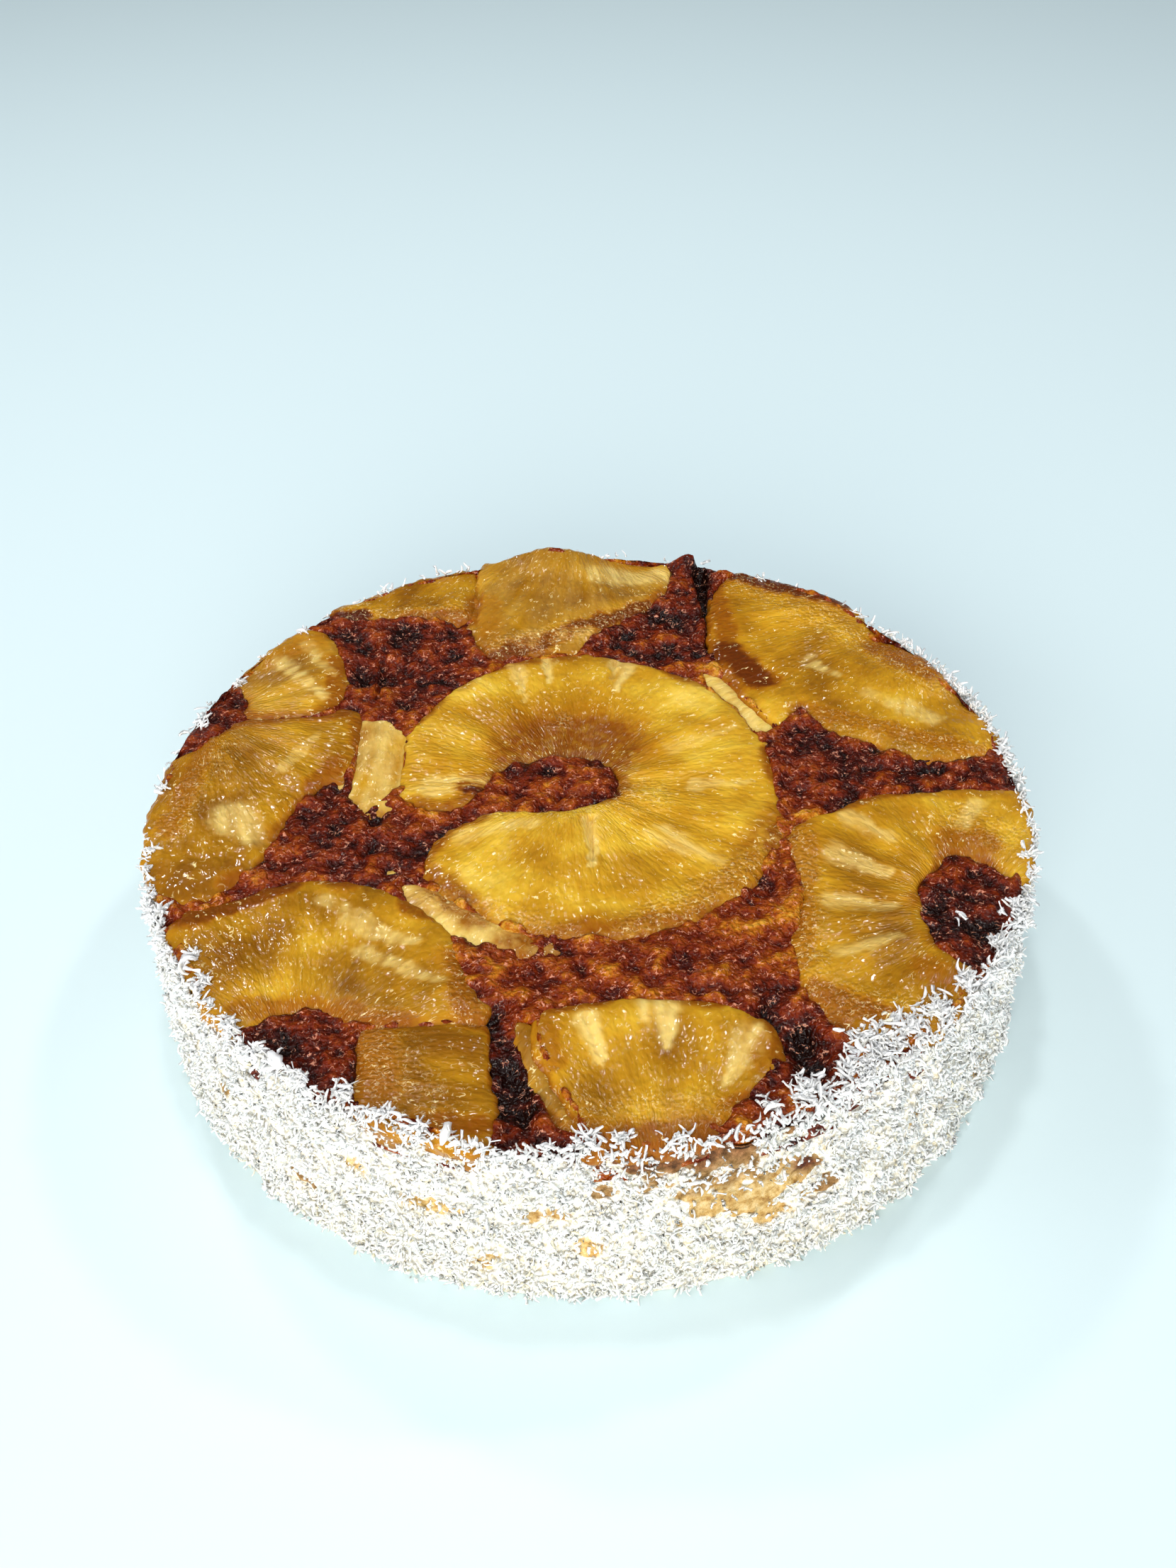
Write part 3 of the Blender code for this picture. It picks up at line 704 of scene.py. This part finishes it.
def face_relief(node_name, places, fibre, strands, sugar):
    """Fibres, bundles of fibres, dents and cracks in the slice's face."""
    bundles = fibre * np.array((1 / 4.2, 1 / 26, 1 / 26))
    dimples = fibre * np.array((1 / 1.7, 1 / 3.4, 1 / 1.7))
    rise = 0.11 * grain(strands, 1.0, 3.0) + 0.22 * grain(bundles, 1.0, 4.0)
    rise += 0.45 * grain(places, 11.0, 6.0) + 0.12 * grain(dimples, 1.0, 8.5)
    rise += sugar * (0.24 * grain(places, 2.0, 7.0) + 0.10 * grain(places, 1.4, 7.5))
    rise -= covered(places, CRACKS, 0.35)
    if node_name == "pineapple_ring":
        dip = np.linalg.norm((places[:, :2] - DIP_MIDDLE) / DIP_HALF_SIZES, axis=1)
        rise -= DIP_DEPTH * smooth(1.35 - dip)
    return rise


def make_fruit(piece_name, node_name, core, paleness, riper, corners, outlines, material):
    """A slice with an even skin, uneven edges, fibres that run out from its core, and marks."""
    piece = slice_skin(piece_name, node_name)
    places = places_of(piece)
    inside = depth_inside(places[:, :2], corners)
    upper = smooth((places[:, 2] - (HEIGHT - FACE_DEPTH)) / 4)

    # The cut edge is ragged, and slumps towards the caramel
    outward = normals_of(piece)
    outward[:, 2] = 0
    near_edge = np.clip(1 - inside / EDGE_WIDTH, 0, 1) * upper
    growth = edge_growth(piece_name, paleness, places, corners, outlines)
    places = places + outward * (near_edge * growth)[:, None]
    slump = 0.7 * np.exp(-np.clip(inside, 0, None) / 1.9)

    # Some pieces spread out over the crumb round them
    middle = corners.mean(axis=0)
    places[:, :2] = middle + (places[:, :2] - middle) * SPREAD.get(piece_name, (1, 1))

    # Where a slice was trimmed with the cake, its edge is the cake's edge
    angle = np.arctan2(places[:, 1], places[:, 0])
    reach = np.hypot(places[:, 0], places[:, 1])
    to_rim = wall_radius(angle, places[:, 2]) - reach
    trimmed = smooth((7.5 - to_rim) / 5.5)
    places[:, :2] *= (1 + RIM_REACH * trimmed / reach)[:, None]
    slump *= 1 - 0.7 * trimmed

    fibre = fibre_of(node_name, core, places, corners)
    strands = fibre * np.array((1 / 1.5, 1 / 16, 1 / 16))
    sugar = covered(places, SUGARED)
    stain = covered(places, STAINS)
    places[:, 2] += upper * (face_relief(node_name, places, fibre, strands, sugar) - slump)
    move_to(piece, places)

    # Toffee soaks in from the cut edge, 0.7 to 6 mm deep
    soak = np.clip(1.5 + 6.0 * grain(places, 9.0, 8.0), 0.7, 6.0)
    edge_stain = 0.62 * smooth(1.2 - inside / soak) * (1 - 0.6 * trimmed)
    stain = np.clip(np.maximum(stain, edge_stain * (1 - 0.3 * paleness)), 0, 1)
    streaks = grain(strands, 1.0, 5.5)
    flush = 0.8 * covered(places, PALES, 1.1) * (1 + 1.3 * streaks)
    pale = paleness * (1 + 0.6 * grain(places, 5.0, 2.5) + 1.2 * streaks) + flush
    paint(piece, "fibre", fibre)
    paint(piece, "stain", stain * (1 - 0.6 * flush))
    paint(piece, "pale", 0.8 * np.clip(pale, 0, 1))
    paint(piece, "ripeness", riper + 0.17 + 0.06 * grain(places, 30.0, 12.0))
    paint(piece, "sugar", sugar)
    dress(piece, material, "pineapple", node_name)


def make_blank_cake(name, skin):
    """A plain cake turned from a cylinder, with a rounded rim and an even skin of that size."""
    deselect_all()
    bpy.ops.mesh.primitive_cylinder_add(
        vertices=256, radius=TOP_RADIUS * MM, depth=HEIGHT * MM, location=(0, 0, HEIGHT * MM / 2),
    )
    piece = bpy.context.object
    piece.name = name
    bpy.ops.object.transform_apply(location=True, rotation=True, scale=True)
    bpy.ops.object.mode_set(mode="EDIT")
    mesh = bmesh.from_edit_mesh(piece.data)
    bpy.ops.mesh.select_all(action="DESELECT")
    for edge in mesh.edges:
        level = all(vert.co.z > HEIGHT * MM - 1e-5 for vert in edge.verts)
        edge.select = level and len(edge.link_faces) == 2
    bmesh.update_edit_mesh(piece.data)
    bpy.ops.mesh.bevel(offset=RIM_ROUND * MM, segments=3, affect="EDGES")
    bpy.ops.object.mode_set(mode="OBJECT")
    finish_modifier(piece, "REMESH", mode="VOXEL", voxel_size=skin * MM)
    return piece


def slice_off(piece, height, keep_above):
    """Cuts the piece level at a height, drops one part, and closes the cut."""
    pick(piece)
    bpy.ops.object.mode_set(mode="EDIT")
    bpy.ops.mesh.select_all(action="SELECT")
    bpy.ops.mesh.bisect(
        plane_co=(0, 0, height * MM), plane_no=(0, 0, 1), use_fill=True,
        clear_inner=keep_above, clear_outer=not keep_above,
    )
    bpy.ops.object.mode_set(mode="OBJECT")


def shape_wall(places):
    """The blank's places moved out to the cake's real, slightly uneven wall, and their angles."""
    angle = np.arctan2(places[:, 1], places[:, 0])
    scale = wall_radius(angle, np.clip(places[:, 2], 0, HEIGHT)) / TOP_RADIUS
    shaped = places.copy()
    shaped[:, :2] *= scale[:, None]
    return shaped, angle


def make_caramel(outlines, material):
    """The caramelised top: granular lumps between the fruit, and a bed under each piece."""
    piece = make_blank_cake("caramel_top", CARAMEL_SKIN)
    slice_off(piece, HEIGHT - CARAMEL_DEPTH, True)
    places = places_of(piece)
    normals = normals_of(piece)
    places, angle = shape_wall(places)
    facing_up = smooth((normals[:, 2] - 0.25) / 0.5) * (places[:, 2] > HEIGHT - 3)

    # How far each place lies inside the nearest slice, and inside the next nearest
    flat = places[:, :2]
    depth = np.full(len(places), -99.0)
    second = np.full(len(places), -99.0)
    for corners in outlines:
        this = depth_near(flat, corners)
        second = np.maximum(second, np.minimum(depth, this))
        depth = np.maximum(depth, this)
    narrow = smooth(1.15 + (depth + second) / 7.0)

    # Lumps and grains of sugar lie between the slices, and toffee has crept up their edges
    lumps = 1.3 * grain(places, 7.0, 1.0) + 1.0 * grain(places, 3.4, 2.0)
    grains = 0.5 * (0.45 - grain(places, 2.3, 3.0, "VORONOI_F1")) + 0.45 * grain(places, 1.9, 4.0)
    clefts = covered(places, CLEFTS, 0.8)
    creep = 0.3 * np.exp(-np.abs(depth + 1.5) / 1.4)
    bed = BED_DEPTH * smooth((depth + 0.4) / 1.4)
    level = top_level(places[:, 0], places[:, 1]) - FRUIT_PROUD - CARAMEL_LOW
    rise = level - HEIGHT + lumps + grains + creep - clefts - bed
    lump_x, lump_y, lump_rise, lump_spread = BACK_LUMP
    from_lump = (places[:, 0] - lump_x) ** 2 + (places[:, 1] - lump_y) ** 2
    rise += lump_rise * np.exp(-from_lump / lump_spread)
    places[:, 2] += facing_up * rise
    side = (1 - facing_up) * (places[:, 2] > HEIGHT - CARAMEL_DEPTH + 0.5)
    bulge = (0.5 * grain(places, 3.0, 5.0) - 0.4) * side
    places[:, 0] += np.cos(angle) * bulge
    places[:, 1] += np.sin(angle) * bulge
    move_to(piece, places)

    tone = np.full(len(places), 0.28)
    weight = np.full(len(places), 0.35)
    for x, y, spread, bake in BAKES:
        nearness = np.exp(-((places[:, 0] - x) ** 2 + (places[:, 1] - y) ** 2) / spread ** 2)
        tone += nearness * bake * 3
        weight += nearness * 3
    tone = tone / (weight + 0.65) + 0.15 * narrow + creep * (0.2 + 1.0 * grain(places, 6.0, 14.0))
    paint(piece, "tone", tone)
    # Painted shade for the material: darker in the clefts, lighter on the high lumps and grains
    paint(piece, "deep", np.clip(clefts / 7 - 0.28 * lumps - 0.16 * grains, -0.32, 0.32))
    dress(piece, material, "sponge", "sponge")


def coat_of(angle, height):
    """How thickly coconut lies on the wall at each place, from 0 to 1, and how far syrup has
    soaked in there."""
    turn = np.degrees(angle)
    places = round_places(angle, 90, height)
    # The coat is patchy. Over the top 9 mm it thins, and the syrup has soaked into the sponge
    patchy = grain(places, 9.0, 11.0)
    coat = 0.98 + 0.30 * patchy + 0.25 * grain(places, 4.0, 12.0)
    coat -= (0.2 + 0.5 * patchy) * smooth((height - (HEIGHT - 9)) / 7)
    soaked = smooth((height - (HEIGHT - 9) + 9 * patchy) / 5)
    for centre, level, half_wide, half_high, missing, brown in BARE_PATCHES:
        around = (turn - centre + 180) % 360 - 180
        reach = np.hypot(np.radians(around) * 92 / half_wide, (height - level) / half_high)
        reach += 0.7 * grain(places, 3.5, 13.0)
        patch = smooth(1.6 - reach)
        coat -= missing * patch
        soaked += (brown - soaked) * patch
    # At the back the rim was scraped nearly clean
    coat -= 0.75 * smooth((height - (HEIGHT - 8)) / 4) * smooth(np.sin(angle - 0.35) * 2.5)
    return np.clip(coat, 0, 1), np.clip(soaked, 0, 1)


def fluff(angle, height):
    """How far the coat stands out from the wall, in millimetres, in clumps 5 mm across."""
    places = round_places(angle, 92, height)
    return 2.2 * grain(places, 5.5, 31.0) + 1.1 * grain(places, 2.6, 32.0)


def make_wall(material):
    """The cake's body below the caramel, with a crumbly wall, a flat base, and a lip that the
    caramel sits in."""
    piece = make_blank_cake("cake_wall", WALL_SKIN)
    slice_off(piece, WALL_TOP, False)
    pick(piece)
    bpy.ops.object.mode_set(mode="EDIT")
    mesh = bmesh.from_edit_mesh(piece.data)
    bpy.ops.mesh.select_all(action="DESELECT")
    for face in mesh.faces:
        face.select = face.normal.z > 0.9 and face.calc_center_median().z > (WALL_TOP - 0.1) * MM
    bmesh.update_edit_mesh(piece.data)
    bpy.ops.mesh.inset(thickness=WALL_LIP * MM)
    bpy.ops.transform.translate(value=(0, 0, -WALL_HOLLOW * MM))
    bpy.ops.object.mode_set(mode="OBJECT")
    slice_off(piece, WALL_FOOT, True)
    places = places_of(piece)
    places[:, 2] -= WALL_FOOT * smooth((3 - places[:, 2]) / 3)
    places, angle = shape_wall(places)

    # Crumbs and the coat's clumps stand out from the wall, and its top edge is ragged
    coat, soaked = coat_of(angle, places[:, 2])
    crumb = 0.5 * grain(places, 4.5, 21.0) + 0.5 * grain(places, 1.9, 22.0)
    proud = crumb + 0.5 * coat - 0.2 + coat * fluff(angle, places[:, 2])
    proud *= smooth((places[:, 2] - 0.2) / 1.5)
    places[:, 0] += np.cos(angle) * proud
    places[:, 1] += np.sin(angle) * proud
    ragged = np.abs(grain(places, 6.0, 23.0)) * 3.4
    places[:, 2] -= ragged * smooth((places[:, 2] - (WALL_TOP - 3)) / 3)
    move_to(piece, places)
    paint(piece, "coat", coat)
    paint(piece, "soaked", soaked)
    dress(piece, material, "sponge", "sponge")


def shred_template(stations, sides):
    """A straight unit shred along X: its rings of corners and its faces."""
    share = np.linspace(-0.5, 0.5, stations)
    turn = np.arange(sides) * 2 * math.pi / sides
    corners = np.array([(s, math.cos(t), math.sin(t)) for s in share for t in turn])
    faces = []
    for ring in range(stations - 1):
        for side in range(sides):
            after = (side + 1) % sides
            a, b = ring * sides + side, ring * sides + after
            c, d = b + sides, a + sides
            faces += [(a, b, c), (a, c, d)]
    last = (stations - 1) * sides
    for side in range(1, sides - 1):
        faces.append((0, side + 1, side))
        faces.append((last, last + side, last + side + 1))
    return corners, np.array(faces)


def make_coconut(name, stations, sides, spots, long, wide, flatness, draw, material, turn=None):
    """One joined mesh of shreds, each with its own length and width. spots holds, for each,
    where it lies, which way is out of the cake there, and the least and most that it may stand
    up from the surface, in degrees."""
    where, outward, lean = spots
    count = len(where)
    template, faces = shred_template(stations, sides)
    thick = wide * draw.uniform(*flatness, count)
    share = template[:, 0]
    taper = 1 - draw.uniform(0.05, 0.5, count)[:, None] * (np.abs(share) * 2)[None, :] ** 2
    lopside = 1 + draw.uniform(-0.35, 0.35, count)[:, None] * share[None, :] * 2
    bend = draw.uniform(-1.3, 1.3, count) * long
    twist = draw.uniform(-1.4, 1.4, count)[:, None] * share[None, :] * 2
    jitter = draw.uniform(0.62, 1.38, (count, len(template)))
    y = template[None, :, 1] * wide[:, None] * 0.5 * taper * lopside * jitter
    z = template[None, :, 2] * thick[:, None] * 0.5 * taper * jitter
    shape = np.empty((count, len(template), 3))
    shape[..., 0] = share[None, :] * long[:, None]
    shape[..., 1] = y * np.cos(twist) - z * np.sin(twist) + bend[:, None] * (share ** 2)[None, :]
    shape[..., 2] = y * np.sin(twist) + z * np.cos(twist)

    # Each shred is turned about the way out, then leant up from the surface
    helper = np.where(np.abs(outward[:, 2:3]) > 0.7, np.array([[1.0, 0, 0]]), np.array([[0, 0, 1.0]]))
    first = np.cross(helper, outward)
    first /= np.linalg.norm(first, axis=1, keepdims=True)
    second = np.cross(outward, first)
    if turn is None:
        turn = draw.uniform(0, 2 * math.pi, count)
    turn = turn[:, None]
    along = first * np.cos(turn) + second * np.sin(turn)
    tilt = np.radians(draw.uniform(0, 1, count) * (lean[:, 1] - lean[:, 0]) + lean[:, 0])[:, None]
    forward = along * np.cos(tilt) + outward * np.sin(tilt)
    up = outward * np.cos(tilt) - along * np.sin(tilt)
    sideways = np.cross(up, forward)
    roll = draw.uniform(0, 2 * math.pi, count)[:, None]
    across = sideways * np.cos(roll) + up * np.sin(roll)
    above = np.cross(forward, across)
    lift = forward * (np.sin(tilt) * long[:, None] * 0.32)
    world = (shape[..., 0:1] * forward[:, None] + shape[..., 1:2] * across[:, None]
             + shape[..., 2:3] * above[:, None] + (where + lift)[:, None])
    places = world.reshape(-1, 3)
    places[:, 2] = np.maximum(places[:, 2], 0.05)
    corners = (faces[None] + (np.arange(count) * len(template))[:, None, None]).reshape(-1, 3)

    mesh = bpy.data.meshes.new(name)
    mesh.vertices.add(len(places))
    mesh.vertices.foreach_set("co", (places * MM).astype(np.float32).ravel())
    mesh.loops.add(corners.size)
    mesh.loops.foreach_set("vertex_index", corners.ravel().astype(np.int32))
    mesh.polygons.add(len(corners))
    mesh.polygons.foreach_set("loop_start", np.arange(0, corners.size, 3, dtype=np.int32))
    mesh.update(calc_edges=True)
    piece = bpy.data.objects.new(name, mesh)
    bpy.context.scene.collection.objects.link(piece)
    # Each shred has its own cream cast, and lower shreds are made creamier still by painted warm bounce
    # light from below
    cream_and_painted_bounce = np.clip(draw.beta(1.3, 3.0, count) + 0.25 * (1 - where[:, 2] / HEIGHT), 0, 1)
    paint(piece, "cream_and_painted_bounce", np.repeat(cream_and_painted_bounce, len(template)))
    mesh.materials.append(material)
    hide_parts("sponge")
    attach(piece, "root")


def wall_spots(count, least, most, proud, lean, draw):
    """Places on the wall that the seeded draw picks, more of them where the coat is thick."""
    found_angle, found_height = np.empty(0), np.empty(0)
    while len(found_angle) < count:
        angle = draw.uniform(-math.pi, math.pi, count)
        height = draw.uniform(least, most, count)
        keep = draw.uniform(0, 1, count) < 0.03 + coat_of(angle, height)[0] ** 1.5
        found_angle = np.concatenate([found_angle, angle[keep]])
        found_height = np.concatenate([found_height, height[keep]])
    angle, height = found_angle[:count], found_height[:count]
    radius = wall_radius(angle, height) + draw.uniform(*proud, count)
    radius += fluff(angle, height) * coat_of(angle, height)[0]
    climb = np.clip((height - (HEIGHT - 3)) / 3, 0, 1) * 0.8
    outward = round_places(angle, 1, climb)
    outward /= np.linalg.norm(outward, axis=1, keepdims=True)
    where = round_places(angle, radius, height)
    return where, outward, np.tile(np.array(lean, float), (count, 1))


def rim_spots(draw):
    """Places of the shreds that cling to the rim or have crept onto the top."""
    where = []
    for x, y, spread, count in RIM_CLUMPS:
        shift = draw.normal(0, spread * 0.55, (count, 2))
        flat = np.array((x, y)) + shift
        level = top_level(flat[:, 0], flat[:, 1]) - 0.6 + draw.uniform(0, 1.0, count)
        where.append(np.column_stack([flat, level]))
    where = np.concatenate(where)
    away = np.hypot(where[:, 0], where[:, 1])
    limit = wall_radius(np.arctan2(where[:, 1], where[:, 0]), where[:, 2])
    past = np.clip(away - limit + 0.6, 0, None)
    where[:, :2] *= ((away - past) / away)[:, None]
    where[:, 2] -= past * 0.8
    outward = np.tile(np.array((0, 0, 1.0)), (len(where), 1))
    lean = np.tile(np.array((0.0, 48.0)), (len(where), 1))
    return where, outward, lean


def make_chips(material):
    """The large single shreds on the rim: flat bits with notched edges."""
    draw = np.random.default_rng(CHIP_SEED)
    count = len(CHIPS)
    x, y, turn, length, width = np.array(CHIPS).T
    where = np.column_stack([x, y, top_level(x, y) + 0.5])
    outward = np.tile(np.array((0, 0, 1.0)), (count, 1))
    lean = np.tile(np.array((0.0, 12.0)), (count, 1))
    make_coconut(
        "coconut_chips", 6, 5, (where, outward, lean), length, width, (0.3, 0.5), draw, material,
        turn=np.radians(turn),
    )


def make_coat(material):
    """The coconut: dust, meal, short shreds, long shreds, and what clings to the rim."""
    draw = np.random.default_rng(COAT_SEED)
    share = 1.0
    # Each kind: its name, its rings of corners, how many there are, the heights between which
    # they lie, how far out from the wall, how steeply they lean out, and their length, width
    # and thickness as a share of the width
    kinds = (
        ("coconut_dust", 2, 13000, (0.2, HEIGHT - 1.0), (0.0, 0.9), (0, 90),
         (0.45, 0.9), (0.5, 0.9), (0.6, 1.0)),
        ("coconut_meal", 3, 13500, (0.3, HEIGHT - 1.0), (0.1, 0.9), (0, 60),
         (0.7, 1.3), (0.6, 1.1), (0.5, 0.9)),
        ("coconut_short_shreds", 4, 9600, (0.4, HEIGHT - 0.6), (0.3, 1.2), (0, 55),
         (1.0, 1.9), (0.6, 1.0), (0.4, 0.8)),
        ("coconut_long_shreds", 5, 6000, (0.8, HEIGHT - 0.4), (0.4, 1.4), (0, 55),
         (1.5, 2.8), (0.5, 0.95), (0.35, 0.7)),
    )
    for name, stations, count, span, proud, lean, length, width, flatness in kinds:
        spots = wall_spots(int(count * share), *span, proud, lean, draw)
        long = draw.uniform(*length, len(spots[0])) * draw.uniform(0.75, 1.15, len(spots[0]))
        wide = draw.uniform(*width, len(spots[0]))
        make_coconut(name, stations, 3, spots, long, wide, flatness, draw, material)
    rim = wall_spots(int(RIM_SHREDS * share), HEIGHT - 3.4, HEIGHT + 0.2, (-0.5, 0.9), (5, 65), draw)
    spots = tuple(np.concatenate([first, more]) for first, more in zip(rim, rim_spots(draw)))
    long = draw.uniform(1.2, 3.4, len(spots[0]))
    wide = draw.uniform(0.55, 1.05, len(spots[0]))
    make_coconut("coconut_on_rim", 5, 3, spots, long, wide, (0.35, 0.75), draw, material)


def make_floor():
    """A plain pale table that runs out of view."""
    deselect_all()
    bpy.ops.mesh.primitive_plane_add(size=6.0)
    floor = bpy.context.object
    floor.name = "table"
    material, _ = new_material(
        "table_matt_pale_laminate", Roughness=0.7, Base_Color=linear("#D8EBF0"),
    )
    floor.data.materials.append(material)


def add_area_light(name, place, target, size, power, colour):
    lamp = bpy.data.lights.new(name, "AREA")
    lamp.shape = "DISK"
    lamp.size = size
    lamp.energy = power
    lamp.color = linear(colour)[:3]
    light = bpy.data.objects.new(name, lamp)
    bpy.context.scene.collection.objects.link(light)
    light.location = place
    light.rotation_euler = (Vector(target) - Vector(place)).to_track_quat("-Z", "Y").to_euler()


def light_studio():
    """Soft daylight from all round, three small lamps overhead that give the syrup its glints, a
    softbox in front and a weaker one on the left."""
    world = bpy.data.worlds.new("pale_daylight")
    world.use_nodes = True
    # The sky is bright behind the camera and dim opposite it, where it would veil the wet top
    direction = add_node(world, "TexCoord").outputs["Generated"]
    forward = add_node(world, "SeparateXYZ", {0: direction}).outputs["Y"]
    forward = add_node(world, "MapRange", {"Value": forward, "From Min": -1.0})
    sky = add_node(
        world, "ValToRGB", {"Fac": forward},
        stops=((0.0, 1.0), (1.0, 0.10), (0.45, 0.62), (0.62, 0.16)),
    )
    tinted = add_node(
        world, "Mix", {0: 1.0, 6: sky, 7: linear("#F6FBFF")},
        data_type="RGBA", blend_type="MULTIPLY",
    )
    shader = world.node_tree.nodes["Background"]
    feed(world, shader, {"Color": tinted.outputs[2], "Strength": 0.9})
    bpy.context.scene.world = world
    top = (0, 0, 0.04)
    middle = (0, 0, 0.03)
    add_area_light("back_left_lamp", (-0.32, 0.50, 0.72), top, 0.082, 1.4, "#FFFFFF")
    add_area_light("back_right_lamp", (0.36, 0.36, 0.78), top, 0.082, 1.4, "#FFFFFF")
    add_area_light("top_lamp", (-0.05, 0.10, 0.92), top, 0.082, 1.4, "#FFFFFF")
    add_area_light("front_softbox", (-0.10, -0.85, 0.36), middle, 0.50, 6.8, "#FFFBF2")
    add_area_light("left_softbox", (-0.75, -0.25, 0.42), middle, 0.40, 1.6, "#FFFFFF")
    bpy.context.scene.view_settings.view_transform = "Standard"


def place_camera():
    """The camera stands in front of the cake and looks down at it from about 41 degrees."""
    lens = bpy.data.cameras.new("camera")
    lens.sensor_width = 36.0
    lens.lens = 39.06
    camera = bpy.data.objects.new("camera", lens)
    bpy.context.scene.collection.objects.link(camera)
    right = Vector((0.999897, -0.009422, -0.010803))
    up = Vector((0.014334, 0.657224, 0.753559))
    forward = Vector((0.0, 0.753640, -0.657290))
    turn = Matrix((right, up, -forward)).transposed().to_4x4()
    camera.matrix_world = Matrix.Translation(Vector((1.076, -275.668, 288.175)) * MM) @ turn
    bpy.context.scene.camera = camera


make_floor()
light_studio()
place_camera()
pineapple = pineapple_material()
outlines = [outline_of(node_name) for node_name, *_ in FRUIT.values()]
for corners, (piece_name, (node_name, core, paleness, riper)) in zip(outlines, FRUIT.items()):
    make_fruit(piece_name, node_name, core, paleness, riper, corners, outlines, pineapple)
make_caramel(outlines, caramel_material())
make_wall(wall_material())
coconut = coconut_material()
make_coat(coconut)
make_chips(coconut)
